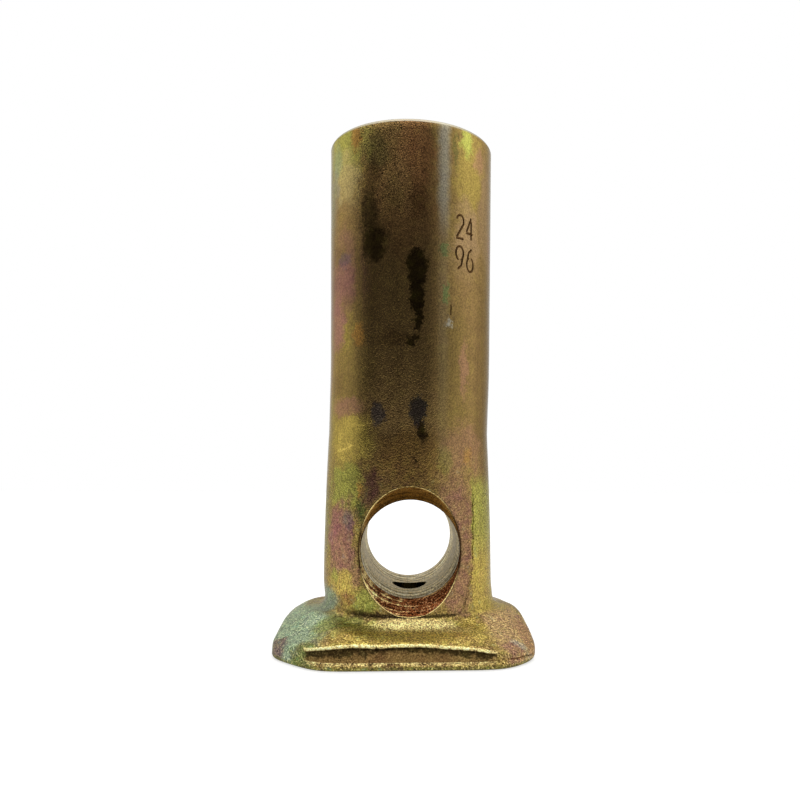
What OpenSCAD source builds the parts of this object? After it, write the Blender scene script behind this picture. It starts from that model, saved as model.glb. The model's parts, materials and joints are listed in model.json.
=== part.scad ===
// Threaded lifting ferrule that is cast into concrete: one steel forging with a round barrel,
// a wide upset foot, a tapped bore from the rim and a countersunk cross hole for an anchor bar.
// The origin is on the barrel's axis at the underside of the foot, and +Z runs up the barrel.
// The cross hole runs along Y. Sizes are in millimetres and angles in degrees.

/* [Barrel] */
// Height from the underside of the foot to the rim
total_h = 96; // [78:1:130]
// Diameter of the barrel above its root
barrel_d = 31.3; // [26:0.1:38]
// Chamfer round the outside of the rim
rim_chamfer = 0.6; // [0.2:0.1:1.2]
// Extra radius that forging the foot leaves at the root of the barrel
root_flare = 1; // [0.2:0.05:1.6]
// Height at which the root's extra radius has run out
flare_top_z = 41; // [34:1:60]

/* [Thread bore] */
// Nominal diameter of the thread
thread_d = 24; // [16:0.1:29]
// Pitch of the thread, which is also the metal that tapping leaves for it across the bore
thread_pitch = 3; // [2:0.5:3.5]
// How far the chamfer at the bore's mouth opens past the thread, across the bore
mouth_clearance = 0.6; // [0.2:0.1:1.2]
// Angle of the tapping drill's point
drill_angle = 118; // [90:1:140]
// Metal left between the tip of the bore and the cross hole
bore_web = 5; // [2:0.5:12]

/* [Pilot hole] */
// Diameter of the pilot hole that runs on down through the cross hole
pilot_d = 6.8; // [4:0.1:10]
// Metal left under the end of the pilot hole
pilot_floor = 3; // [2:0.5:6]

/* [Cross hole] */
// Diameter of the anchor bar
bar_d = 16; // [10:0.5:20]
// Clearance of the bar in the cross hole, across the hole
bar_clearance = 2; // [0.5:0.1:4]
// Full angle of the countersinks
csk_angle = 84; // [60:1:100]
// Width of the countersinks' slope, measured across the hole's radius
csk_width = 2.7; // [1:0.1:4]
// How far the countersinks reach in from the side of the barrel
csk_reach = 2.3; // [1:0.1:4]
// Gap between the countersinks and the crease at the foot
csk_gap = 0.25; // [0.1:0.05:6]

/* [Foot] */
// Width of the foot along X, across its middle
foot_w = 46.1; // [40:0.1:60]
// Length of the foot along Y
foot_l = 45.6; // [40:0.1:60]
// Distance of the foot's centre from the barrel's axis along X
foot_shift_x = -1.3; // [-2:0.1:2]
// Distance of the foot's centre from the barrel's axis along Y
foot_shift_y = -0.2; // [-2:0.1:2]
// Angle by which each of the foot's left and right sides spreads towards the front
foot_splay = 5.5; // [0:0.5:8]
// Distance from the foot's centre to its cut corner at the back right
corner_br = 30; // [26:0.1:36]
// Distance from the foot's centre to its cut corner at the back left
corner_bl = 29; // [26:0.1:36]
// Distance from the foot's centre to its cut corner at the front left
corner_fl = 26.8; // [26:0.1:36]
// Distance from the foot's centre to its cut corner at the front right
corner_fr = 29.1; // [26:0.1:36]
// How tightly the sides turn into the cut corners
corner_power = 20; // [8:1:30]
// Height of the crease where the foot's slope meets the barrel
crease_z = 7.75; // [6:0.05:12]
// Height of the foot's upper edge where it is thinnest
edge_z = 2.4; // [2.2:0.1:5]
// Share of the slope's fall that is missing at the back
back_ease = 0.53; // [0:0.01:0.8]
// How far the slope swells up beside and behind the barrel
side_swell = 1.12; // [0:0.01:1.5]
// Share by which that swelling is higher on the left and lower on the right
swell_skew = 0.12; // [-0.4:0.01:0.4]
// Distance from the crease over which that swelling comes and goes
swell_reach = 10; // [6:0.5:14]
// How far the slope swells up towards the front left corner
left_swell = 1.1; // [0:0.05:1.3]
// How far the slope swells up towards the front right corner
right_swell = 0.45; // [0:0.05:1.3]
// Radius round the foot's lower edge
lower_round = 1.3; // [0.4:0.1:1.5]
// Radius round the foot's upper edge
upper_round = 0.5; // [0.2:0.1:0.6]

/* [Hidden] */
$fn = 96;

// Overrun of each cutter past the surface that it opens
over = 1;
barrel_r = barrel_d / 2;
root_r = barrel_r + root_flare;
flare_steps = 10;

bore_r = (thread_d - thread_pitch) / 2;
mouth_r = (thread_d + mouth_clearance) / 2;
point_h = bore_r / tan(drill_angle / 2);

cross_r = (bar_d + bar_clearance) / 2;
csk_r = cross_r + csk_width;
csk_start = barrel_r - csk_reach;
csk_end = csk_start + csk_width / tan(csk_angle / 2);
cross_z = crease_z + csk_gap + csk_r;
cross_half = max(csk_end, root_r) + over;
tip_z = cross_z + cross_r + bore_web;
bore_floor_z = tip_z + point_h;

pilot_r = pilot_d / 2;
pilot_tip = pilot_r / tan(drill_angle / 2);

foot_sides = 96;
round_steps = 4;
slope_steps = 8;
inner_r = barrel_r - over;

// Radius of the barrel at a height: the root's extra radius runs out along a sine
function barrel_radius(z) = barrel_r + root_flare * sin(90 * (flare_top_z - z) / (flare_top_z - crease_z));

// The foot's eight sides, anticlockwise from +X: the way each faces and its distance from the centre
side_angles = [foot_splay, 45, 90, 135, 180 - foot_splay, 225, 270, 315];
side_distances = [
    foot_w / 2, corner_br,
    foot_l / 2, corner_bl,
    foot_w / 2, corner_fl,
    foot_l / 2, corner_fr
];

function sum_of(v, i = 0) = i < len(v) ? v[i] + sum_of(v, i + 1) : 0;

// Radius of the foot's rounded octagon in the direction a
function outline_radius(a) =
    let (pulls = [for (i = [0 : 7]) pow(max(0, cos(a - side_angles[i])) / side_distances[i], corner_power)])
    pow(sum_of(pulls), -1 / corner_power);

// Point of the outline in the direction a, drawn in by an inset
function outline_point(a, inset) =
    let (r = outline_radius(a) - inset)
    [foot_shift_x + r * cos(a), foot_shift_y + r * sin(a)];

// Directions from the axis, as shares of a radius: where the side swelling ends towards the front,
// where the corner swellings begin, and the middle and half width of each of those two
side_ends = [0.45, 0.8];
corners_begin = [0.3, 0.6];
left_corner = [-0.55, 0.38];
right_corner = [0.51, 0.3];
// Distances from the crease between which the corner swellings rise
corner_rise = [0.8, 6.3];
// Factor that brings the peak of t * (1 - t)^2 to one
peak_factor = 27 / 4;

function share_of(v, from) = min(1, max(0, (v - from[0]) / (from[1] - from[0])));
function eased(t) = t * t * (3 - 2 * t);
function corner_share(east, corner) = eased(max(0, 1 - abs(east - corner[0]) / corner[1]));

// How far the slope stands above a plain fall at a plan point
function swelling(p) =
    let (
        r = norm(p),
        east = p.x / r,
        front = -p.y / r,
        t = share_of(r - root_r, [0, swell_reach]),
        rise = side_swell * (1 - swell_skew * east) * (1 - eased(share_of(front, side_ends))),
        beside = rise * peak_factor * t * pow(1 - t, 2),
        left = left_swell * corner_share(east, left_corner),
        corners = left + right_swell * corner_share(east, right_corner)
    )
    beside + corners * share_of(front, corners_begin) * share_of(r - root_r, corner_rise);

// Fall of the foot's slope from the crease to a plan point, for a front slope of one in one
function unit_fall(p) =
    let (r = norm(p))
    (r - root_r) * (1 - back_ease * (1 + p.y / r) / 2);

// The front slope is as steep as leaves edge_z at the foot's thinnest place
front_slope = min([
    for (k = [0 : foot_sides - 1])
        (crease_z - edge_z) / unit_fall(outline_point(360 * k / foot_sides, upper_round))
]);

// Height of the foot's slope at a plan point, which is never above the crease
function slope_z(p) = min(crease_z, crease_z - front_slope * unit_fall(p) + swelling(p));

function lift(p, z) = [p.x, p.y, z];

// Rings of the foot from its underside up: lower rounding, side, upper rounding, slope
function lower_ring(t) = [
    for (k = [0 : foot_sides - 1])
        lift(outline_point(360 * k / foot_sides, lower_round * (1 - sin(t))), lower_round * (1 - cos(t)))
];
function upper_ring(t) = [
    for (k = [0 : foot_sides - 1])
        let (
            a = 360 * k / foot_sides,
            edge_z = slope_z(outline_point(a, upper_round)),
            p = outline_point(a, upper_round * (1 - cos(t)))
        )
        lift(p, edge_z - upper_round * (1 - sin(t)))
];
function slope_ring(share) = [
    for (k = [0 : foot_sides - 1])
        let (
            a = 360 * k / foot_sides,
            edge = outline_point(a, upper_round),
            inner = inner_r * [cos(a), sin(a)],
            p = edge + share * (inner - edge)
        )
        lift(p, slope_z(p))
];

// Closed solid through a stack of rings, given from the bottom up
module loft(rings) {
    n = len(rings[0]);
    count = len(rings);
    points = [for (ring = rings) each ring];
    underside = [for (k = [0 : n - 1]) k];
    top = [for (k = [n - 1 : -1 : 0]) (count - 1) * n + k];
    sides = [
        for (j = [0 : count - 2], k = [0 : n - 1])
            [j * n + k, (j + 1) * n + k, (j + 1) * n + (k + 1) % n, j * n + (k + 1) % n]
    ];
    polyhedron(points, concat([underside, top], sides), convexity = 4);
}

// Upset foot: a rounded octagon in plan, thick at the barrel and thinner towards its edge
module foot() {
    lower = [for (i = [0 : round_steps]) lower_ring(90 * i / round_steps)];
    upper = [for (i = [0 : round_steps - 1]) upper_ring(90 * i / (round_steps - 1))];
    slope = [for (i = [1 : slope_steps]) slope_ring(i / slope_steps)];
    loft(concat(lower, upper, slope));
}

// Barrel: turned above, and a little wider at its root where the foot was upset
module barrel() {
    flare = [
        for (i = [0 : flare_steps])
            let (z = crease_z + (flare_top_z - crease_z) * i / flare_steps)
            [barrel_radius(z), z]
    ];
    rotate_extrude()
        polygon(concat(
            [[0, lower_round], [root_r, lower_round]],
            flare,
            [[barrel_r, total_h - rim_chamfer], [barrel_r - rim_chamfer, total_h], [0, total_h]]
        ));
}

// Bore for the thread, at the tapping drill's size, with its chamfered mouth and drill point
module thread_bore() {
    mouth_z = total_h - (mouth_r - bore_r);
    rotate_extrude()
        polygon([
            [0, tip_z],
            [bore_r, bore_floor_z],
            [bore_r, mouth_z],
            [mouth_r + over, total_h + over],
            [0, total_h + over]
        ]);
}

// Pilot hole from inside the bore's point to a blind end in the foot
module pilot_hole() {
    rotate_extrude()
        polygon([
            [0, pilot_floor],
            [pilot_r, pilot_floor + pilot_tip],
            [pilot_r, tip_z + pilot_tip],
            [0, tip_z + pilot_tip]
        ]);
}

// Cross hole for the anchor bar, countersunk where it leaves the barrel on both sides
module cross_hole() {
    translate([0, 0, cross_z])
        rotate([90, 0, 0])
            rotate_extrude()
                polygon([
                    [0, -cross_half],
                    [csk_r, -cross_half],
                    [csk_r, -csk_end],
                    [cross_r, -csk_start],
                    [cross_r, csk_start],
                    [csk_r, csk_end],
                    [csk_r, cross_half],
                    [0, cross_half]
                ]);
}

// The whole forging, drilled, tapped and plated
module ferrule() {
    color("goldenrod")
        difference() {
            union() {
                foot();
                barrel();
            }
            thread_bore();
            pilot_hole();
            cross_hole();
        }
}

ferrule();
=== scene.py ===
"""Looks of the threaded lifting ferrule: a forged, tapped and cross-drilled steel part with a yellow zinc finish.

Every length below is in millimetres until a tree's last step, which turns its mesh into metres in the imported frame.
"""
import json
import logging
import math
from dataclasses import dataclass, fields
from enum import Enum
from types import SimpleNamespace
from typing import Callable, Optional, Sequence, Union

import bpy
from mathutils import Matrix, Vector


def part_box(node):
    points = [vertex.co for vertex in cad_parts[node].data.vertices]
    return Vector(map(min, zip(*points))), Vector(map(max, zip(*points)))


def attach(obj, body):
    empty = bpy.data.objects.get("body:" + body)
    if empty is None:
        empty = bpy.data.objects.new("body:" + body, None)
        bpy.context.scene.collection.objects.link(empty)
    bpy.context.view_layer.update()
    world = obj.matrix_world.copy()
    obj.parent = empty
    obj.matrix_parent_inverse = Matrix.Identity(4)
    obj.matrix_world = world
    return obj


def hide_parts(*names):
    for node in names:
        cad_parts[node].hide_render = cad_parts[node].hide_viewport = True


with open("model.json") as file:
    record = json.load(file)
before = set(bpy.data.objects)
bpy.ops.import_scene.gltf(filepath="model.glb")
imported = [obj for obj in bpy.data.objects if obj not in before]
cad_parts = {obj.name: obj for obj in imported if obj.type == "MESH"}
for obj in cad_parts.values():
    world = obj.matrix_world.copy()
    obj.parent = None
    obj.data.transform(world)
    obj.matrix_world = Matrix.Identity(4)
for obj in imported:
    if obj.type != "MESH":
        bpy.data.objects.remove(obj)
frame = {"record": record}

logging.basicConfig(level=logging.INFO, format="%(message)s")
log = logging.getLogger("ferrule")

MM = 0.001
FULL_TURN = 2 * math.pi
DEGREES = 180 / math.pi

Number = Union["Field", float]
Ring = tuple[Number, Number, Number]
Span = tuple[float, float]  # where a change sets in and where it is complete
Point = tuple[float, float]
Stroke = tuple[Point, ...]
Colour = tuple[float, float, float]
Socket = bpy.types.NodeSocket
Material = bpy.types.Material
Object = bpy.types.Object


def linear(colour: Colour) -> tuple[float, float, float, float]:
    """Turns a colour as it looks on a screen into the scene's linear light.

    Args:
        colour: Red, green and blue from 0 to 255.

    Returns:
        The same colour in linear light, with full alpha.
    """
    parts = [c / 255 for c in colour]
    light = [c / 12.92 if c <= 0.04045 else ((c + 0.055) / 1.055) ** 2.4 for c in parts]
    return (light[0], light[1], light[2], 1.0)


def step(operation: str, swapped: bool = False) -> Callable[..., "Field"]:
    """Makes a method of Field that adds one step of arithmetic.

    Args:
        operation: Blender's name of the operation.
        swapped: Whether the field comes after the other number.

    Returns:
        The method, from the field and at most one other number to the result.
    """
    def method(field: "Field", *others: Number) -> "Field":
        """Adds the step to the field's own tree."""
        numbers = (*others, field) if swapped else (field, *others)
        return field.tree.math(operation, *numbers)

    return method


class Field:
    """A number that varies over a surface: an output socket of a node tree, with Python's arithmetic."""

    __add__, __radd__ = step("ADD"), step("ADD", swapped=True)
    __sub__, __rsub__ = step("SUBTRACT"), step("SUBTRACT", swapped=True)
    __mul__, __rmul__ = step("MULTIPLY"), step("MULTIPLY", swapped=True)
    __truediv__, __rtruediv__ = step("DIVIDE"), step("DIVIDE", swapped=True)
    __pow__ = step("POWER")
    sqrt, sin, cos, size = step("SQRT"), step("SINE"), step("COSINE"), step("ABSOLUTE")
    part, whole = step("FRACT"), step("FLOOR")
    at_least, at_most = step("MAXIMUM"), step("MINIMUM")

    def __init__(self, tree: "Tree", socket: Socket) -> None:
        """Keeps the tree and the socket that the number comes from."""
        self.tree = tree
        self.socket = socket

    def __neg__(self) -> "Field":
        """Turns the sign round."""
        return 0.0 - self

    def within(self, low: Number = 0.0, high: Number = 1.0) -> "Field":
        """Holds the number between two others."""
        return self.at_least(low).at_most(high)

    def near(self, middle: Number, reach: Number) -> "Field":
        """Gives 1 at a middle value, falling through 0 at a reach from it on either side."""
        return 1 - ((self - middle) / reach).size()

    def ramp(
        self,
        start: Number,
        end: Number,
        low: Number = 0.0,
        high: Number = 1.0,
        soft: bool = False,
    ) -> "Field":
        """Maps the number from one range to another and holds it at the ends.

        Args:
            start: Value that gives low.
            end: Value that gives high.
            low: Result at start.
            high: Result at end.
            soft: Whether the ends ease in and out.

        Returns:
            The mapped number.
        """
        node = self.tree.node("ShaderNodeMapRange", interpolation_type="SMOOTHSTEP" if soft else "LINEAR")
        for value, socket in zip((self, start, end, low, high), node.inputs):
            self.tree.put(value, socket)
        return Field(self.tree, node.outputs[0])

    def fade(self, start: Number, end: Number, soft: bool = False) -> "Field":
        """Gives 1 before a range and 0 after it."""
        return 1 - self.ramp(start, end, soft=soft)


class Tree:
    """Adds nodes to one node tree, of geometry or of a shader, and joins their sockets."""

    def __init__(self, nodes: bpy.types.NodeTree) -> None:
        """Keeps the node tree that everything is added to."""
        self.nodes = nodes

    def put(self, value: object, socket: Socket) -> None:
        """Links a field or a socket to an input, or writes a plain value there.

        Args:
            value: Field, output socket or plain value.
            socket: Input that it goes to.
        """
        if isinstance(value, Field):
            value = value.socket
        if isinstance(value, Socket):
            self.nodes.links.new(value, socket)
        else:
            socket.default_value = value

    def node(
        self,
        kind: str,
        inputs: Optional[dict[Union[str, int], object]] = None,
        **settings: object,
    ) -> bpy.types.Node:
        """Adds a node.

        Args:
            kind: Blender's name of the node's type.
            inputs: What goes into its inputs, by name or place.
            settings: Its own properties.

        Returns:
            The new node.
        """
        node = self.nodes.nodes.new(kind)
        for name, value in settings.items():
            setattr(node, name, value)
        for name, value in (inputs or {}).items():
            self.put(value, node.inputs[name])
        return node

    def math(self, operation: str, *values: Number) -> Field:
        """Adds one step of arithmetic.

        Args:
            operation: Blender's name of the operation.
            values: Numbers that it works on.

        Returns:
            The result.
        """
        node = self.node("ShaderNodeMath", operation=operation)
        for value, socket in zip(values, node.inputs):
            self.put(value, socket)
        return Field(self, node.outputs[0])

    def vector(self, x: Number, y: Number, z: Number) -> Socket:
        """Joins three numbers into one vector."""
        return self.node("ShaderNodeCombineXYZ", {0: x, 1: y, 2: z}).outputs[0]

    def split(self, vector: Socket) -> tuple[Field, ...]:
        """Takes a vector apart into its three numbers."""
        outputs = self.node("ShaderNodeSeparateXYZ", {0: vector}).outputs
        return tuple(Field(self, output) for output in outputs)

    def noise(self, vector: Socket, scale: Number, detail: float = 2.0, rough: float = 0.5) -> Field:
        """Adds smooth noise.

        Args:
            vector: Where the noise is read.
            scale: Waves for each unit of that place.
            detail: Finer layers on top.
            rough: Strength of each layer against the one before.

        Returns:
            A number around one half.
        """
        values = {"Vector": vector, "Scale": scale, "Detail": detail, "Roughness": rough}
        return Field(self, self.node("ShaderNodeTexNoise", values).outputs[0])

    def uneven(self, vector: Socket, scale: Number, detail: float = 2.0, rough: float = 0.5) -> Field:
        """Adds smooth noise around zero."""
        return self.noise(vector, scale, detail, rough) - 0.5


class GeometryTree(Tree):
    """A geometry tree that makes one closed shape from strips between rings."""

    SEGMENTS = 240
    MERGE = 0.0008

    def __init__(self, name: str, owner: object) -> None:
        """Starts a tree with an input for each number of its owner.

        Args:
            name: Name of the tree.
            owner: Dataclass whose number fields become the tree's named inputs.
        """
        super().__init__(bpy.data.node_groups.new(name, "GeometryNodeTree"))
        face = self.nodes.interface
        for way in ("INPUT", "OUTPUT"):
            face.new_socket("Geometry", in_out=way, socket_type="NodeSocketGeometry")
        self.inputs = self.node("NodeGroupInput")
        self.values: dict[str, float] = {}
        self.sizes = SimpleNamespace()
        for entry in fields(owner):
            value = getattr(owner, entry.name)
            if not isinstance(value, float):
                continue
            title = entry.name.replace("_", " ").capitalize()
            socket = face.new_socket(title, in_out="INPUT", socket_type="NodeSocketFloat")
            self.values[socket.identifier] = value
            setattr(self.sizes, entry.name, Field(self, self.inputs.outputs[len(self.values)]))
        x, y, _ = self.split(self.node("GeometryNodeInputPosition").outputs[0])
        self.along = x + 0.5
        self.turn = (0.5 - y) * FULL_TURN
        self.cosine, self.sine = self.turn.cos(), self.turn.sin()

    def ring(self, r: Number, z: Number) -> Ring:
        """Gives a ring round the upright axis."""
        return (r * self.cosine, r * self.sine, z)

    def strip(self, rows: int, path: Callable[[Field], Ring]) -> Socket:
        """Adds a band of faces right round the shape.

        Args:
            rows: Rows of faces along the path.
            path: Gives the ring of points at a share of the way along, as fields of the turn.

        Returns:
            The band's geometry.
        """
        sizes = {"Size X": 1.0, "Size Y": 1.0, "Vertices X": rows + 1, "Vertices Y": self.SEGMENTS + 1}
        grid = self.node("GeometryNodeMeshGrid", sizes)
        place = self.vector(*path(self.along))
        return self.node("GeometryNodeSetPosition", {"Geometry": grid.outputs[0], "Position": place}).outputs[0]

    def straight(self, rows: int, start: Ring, end: Ring) -> Socket:
        """Adds a band that runs straight from one ring to another."""
        return self.strip(rows, lambda t: blend(start, end, t))

    def rounded(self, rows: int, start: Ring, corner: Ring, end: Ring) -> Socket:
        """Adds a band that bends round a corner from one ring to another."""
        return self.strip(rows, lambda t: blend(blend(start, corner, t), blend(corner, end, t), t))

    def closed(self, strips: Sequence[Socket]) -> Socket:
        """Joins bands into one closed mesh.

        Args:
            strips: The bands, each ending where the next begins.

        Returns:
            The closed mesh.
        """
        join = self.node("GeometryNodeJoinGeometry")
        for strip in reversed(strips):
            self.nodes.links.new(strip, join.inputs[0])
        merge = {"Geometry": join.outputs[0], "Distance": self.MERGE}
        return self.node("GeometryNodeMergeByDistance", merge).outputs[0]

    def finish(self, geometry: Socket, material: Material, *others: tuple[Material, Field]) -> None:
        """Ends the tree: metres, real meshes and a material.

        Args:
            geometry: The shape in millimetres.
            material: What it is made of.
            others: Materials of some of its faces, each with the field that chooses them.
        """
        scaled = self.node("GeometryNodeTransform", {"Geometry": geometry, "Scale": (MM, MM, MM)})
        real = self.node("GeometryNodeRealizeInstances", {0: scaled.outputs[0]})
        dressed = self.node("GeometryNodeSetMaterial", {"Geometry": real.outputs[0], "Material": material})
        for other, chosen in others:
            values = {"Geometry": dressed.outputs[0], "Selection": chosen, "Material": other}
            dressed = self.node("GeometryNodeSetMaterial", values)
        self.node("NodeGroupOutput", {0: dressed.outputs[0]})

    def make(self, name: str, start: Optional[bpy.types.Mesh] = None) -> Object:
        """Runs the tree and keeps what it makes as a plain mesh.

        Args:
            name: Name of the new object.
            start: Mesh that the tree works on, where it needs one.

        Returns:
            An object without modifiers, at the origin.
        """
        worker = bpy.data.objects.new(name + "_tree", start or bpy.data.meshes.new(name + "_start"))
        bpy.context.collection.objects.link(worker)
        modifier = worker.modifiers.new("tree", "NODES")
        modifier.node_group = self.nodes
        for identifier, value in self.values.items():
            modifier[identifier] = value
        return plain(worker, name)


def blend(start: Ring, end: Ring, share: Number) -> Ring:
    """Mixes two rings point by point.

    Args:
        start: Ring at share 0.
        end: Ring at share 1.
        share: How far along the mix is.

    Returns:
        The ring between them.
    """
    return tuple(a + (b - a) * share for a, b in zip(start, end))


def plain(worker: Object, name: str) -> Object:
    """Turns an object with modifiers into a plain mesh object.

    Args:
        worker: Object with live modifiers, which is removed.
        name: Name of the plain object.

    Returns:
        The new object, without modifiers, at the origin.
    """
    graph = bpy.context.evaluated_depsgraph_get()
    evaluated = worker.evaluated_get(graph)
    mesh = bpy.data.meshes.new_from_object(evaluated, preserve_all_data_layers=True, depsgraph=graph)
    mesh.name = name
    bpy.data.objects.remove(worker)
    made = bpy.data.objects.new(name, mesh)
    bpy.context.collection.objects.link(made)
    return made


def cut(body: Object, tools: Sequence[Object], name: str) -> Object:
    """Cuts closed shapes out of a closed body.

    Args:
        body: Object that is cut, which is replaced.
        tools: Shapes that are taken out of it, which are removed.
        name: Name of the cut object.

    Returns:
        The cut object, as a plain mesh.
    """
    for tool in tools:
        boolean = body.modifiers.new(tool.name, "BOOLEAN")
        boolean.operation = "DIFFERENCE"
        boolean.solver = "MANIFOLD"
        boolean.material_mode = "TRANSFER"
        boolean.object = tool
    made = plain(body, name)
    for tool in tools:
        bpy.data.objects.remove(tool)
    return made


@dataclass(frozen=True)
class ForgedSkin:
    """The outside of the forging, from the underside of its foot to the rim.

    The rings of the foot turn about the foot's own centre and the rings of the barrel about the origin. Side distances
    run anticlockwise from +X, which is the right of the picture; the front is -Y. A pair of numbers is where a change
    sets in and where it is complete: of a height, or of a direction's cosine to the front, or to the right for those
    named right, where 1 is straight ahead.

    Attributes:
        height: Underside to rim.
        barrel_r: Radius of the barrel.
        rim_chamfer: Rounding of the outer rim.
        root_flare: How much wider the barrel is at its root.
        flare_top: Height at which that flare ends.
        crease: Height of the line where barrel and foot meet.
        edge: Thinnest height of the foot's edge in front.
        back_ease: How much gentler the slope is behind.
        shift_x: Middle of the foot, to the right of the barrel's.
        shift_y: The same, backwards.
        splay: Turn of the foot's two ends, in degrees.
        side_distances: Distance of each side of the foot from its middle.
        corner_power: How tight the foot's corners are.
        lower_round: Rounding under the foot.
        right_round: More of it at the right end.
        front_round: Rounding over the facet in front.
        corner_round: Rounding over the other sides.
        ledge: Depth of the facet in front.
        ledge_z: Height of the facet's lower edge.
        side_swell: Height of the convex shoulders at the ends.
        swell_skew: Share that the left one is higher.
        swell_reach: Distance over which they rise and fall.
        left_swell: Height of the left front corner's shoulder.
        right_swell: Height of the right front corner's.
        front_dip: Depth of the hollow in front of the barrel.
        dip_reach: Distance from the root to its deepest line.
        small_fillet: Fillet of the crease in front and behind.
        wide_fillet: Fillet of the crease beside the front.
        lean: How far the lower barrel leans to the right.
        barrel_wave: Depth of the dents in the barrel.
        foot_wave: Depth of the dents in the foot.
        lean_starts, lean_ends: Heights where the lean sets in and where it goes.
        facet_front: Directions of the facet.
        fillet_behind, fillet_ahead: Directions between which the fillet is wide.
        round_right: Directions of the wider rounding under the right end.
        swell_behind, swell_ahead: Directions between which the shoulders stand.
        corner_ahead: Directions in front of which the corners' shoulders stand.
        corner_rise: Distances from the root over which they rise.
        left_corner, right_corner: Middle and half width of each, as a cosine to the right.
        dip_ahead: Directions of the hollow in front.
        dip_end: Distance from the root at which it ends.
    """

    height: float
    barrel_r: float = 15.65
    rim_chamfer: float = 0.6
    root_flare: float = 1.0
    flare_top: float = 41.0
    crease: float = 7.75
    edge: float = 2.4
    back_ease: float = 0.53
    shift_x: float = -1.3
    shift_y: float = -0.2
    splay: float = 5.5
    side_distances: tuple[float, ...] = (23.05, 30.0, 22.8, 29.0, 23.05, 26.8, 22.8, 29.1)
    corner_power: float = 20.0
    lower_round: float = 0.85
    right_round: float = 0.75
    front_round: float = 0.8
    corner_round: float = 1.1
    ledge: float = 0.45
    ledge_z: float = 1.42
    side_swell: float = 1.12
    swell_skew: float = 0.12
    swell_reach: float = 10.0
    left_swell: float = 1.4
    right_swell: float = 0.45
    front_dip: float = 0.6
    dip_reach: float = 1.8
    small_fillet: float = 0.22
    wide_fillet: float = 2.1
    lean: float = -0.33
    barrel_wave: float = 0.05
    foot_wave: float = 0.16
    lean_starts: Span = (8.0, 13.0)
    lean_ends: Span = (38.0, 56.0)
    facet_front: Span = (0.54, 0.68)
    fillet_behind: Span = (-0.5, 0.3)
    fillet_ahead: Span = (0.62, 0.84)
    round_right: Span = (0.6, 0.95)
    swell_behind: Span = (-0.6, 0.0)
    swell_ahead: Span = (0.45, 0.8)
    corner_ahead: Span = (0.3, 0.6)
    corner_rise: Span = (0.8, 6.3)
    left_corner: Span = (-0.55, 0.38)
    right_corner: Span = (0.51, 0.30)
    dip_ahead: Span = (0.72, 0.84)
    dip_end: float = 5.5

    EDGE_MARGIN = 0.5
    SLIVER = 0.02
    CUBIC_PEAK = 27 / 4

    @property
    def side_angles(self) -> tuple[float, ...]:
        """Gives the way that each side of the foot faces, in degrees from +X."""
        return (self.splay, 45, 90, 135, 180 - self.splay, 225, 270, 315)

    @property
    def root_r(self) -> float:
        """Gives the barrel's radius at the crease."""
        return self.barrel_r + self.root_flare

    def outline(self, angle: float) -> float:
        """Gives the foot's radius in one direction.

        Args:
            angle: Direction in radians from +X.

        Returns:
            The radius from the foot's own middle.
        """
        sides = zip(self.side_angles, self.side_distances)
        pulls = [max(0.0, math.cos(angle - math.radians(a))) / d for a, d in sides]
        return sum(p ** self.corner_power for p in pulls) ** (-1 / self.corner_power)

    def front_slope(self) -> float:
        """Finds the slope of the foot's front from the height of its edge.

        Returns:
            The fall for each millimetre outwards that leaves the edge's thinnest place at the edge height.
        """
        slopes = []
        for angle in map(math.radians, range(360)):
            r = self.outline(angle) - self.EDGE_MARGIN
            x, y = self.shift_x + r * math.cos(angle), self.shift_y + r * math.sin(angle)
            out = math.hypot(x, y)
            ease = 1 - self.back_ease * (1 + y / out) / 2
            slopes.append((self.crease - self.edge) / ((out - self.root_r) * ease))
        return min(slopes)

    def barrel_at(self, z: Number) -> Number:
        """Gives the barrel's radius at a height within its flared root."""
        swing = ((self.flare_top - z) / (self.flare_top - self.crease)) * (math.pi / 2)
        return self.barrel_r + self.root_flare * swing.at_most(math.pi / 2).at_least(0.0).sin()

    def lean_at(self, z: Number) -> Number:
        """Gives how far the barrel leans to the right at a height."""
        return self.lean * z.ramp(*self.lean_starts, soft=True) * z.fade(*self.lean_ends, soft=True)

    def make(self, material: Material) -> Object:
        """Builds the skin as a closed mesh.

        Args:
            material: Finish of the outside.

        Returns:
            The skin.
        """
        tree = GeometryTree("forged skin", self)
        size = tree.sizes
        foot, fillet_z = self.foot(tree)

        def up_flare(t: Field) -> Ring:
            """Runs up the barrel's flared root."""
            z = fillet_z + (size.flare_top - fillet_z) * t
            return tree.ring(self.barrel_at(z), z)

        top, round_r = size.height, size.rim_chamfer
        rim = (
            tree.ring(size.barrel_r, top - round_r),
            tree.ring(size.barrel_r - round_r * 0.2, top - round_r * 0.2),
            tree.ring(size.barrel_r - round_r, top),
        )
        shape = tree.closed([
            *foot,
            tree.strip(34, up_flare),
            tree.straight(44, tree.ring(size.barrel_r, size.flare_top), rim[0]),
            tree.rounded(4, *rim),
            tree.straight(2, rim[2], (0.0, 0.0, top)),
        ])
        tree.finish(self.roughen(tree, shape), material)
        return tree.make("forged_skin")

    def foot(self, tree: GeometryTree) -> tuple[list[Socket], Field]:
        """Builds the foot, from the middle of its underside to the end of the fillet round the barrel.

        Args:
            tree: The skin's tree.

        Returns:
            The foot's bands, and the height of the ring where they end.
        """
        size, turn, cosine = tree.sizes, tree.turn, tree.cosine
        ahead = -tree.sine
        pulls = None
        for angle, distance in zip(self.side_angles, self.side_distances):
            facing = (turn - math.radians(angle)).cos().at_least(0.0)
            pull = (facing * (self.barrel_r / distance)) ** size.corner_power
            pulls = pull if pulls is None else pulls + pull
        radius = self.barrel_r * pulls ** (-1.0 / size.corner_power)

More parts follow.
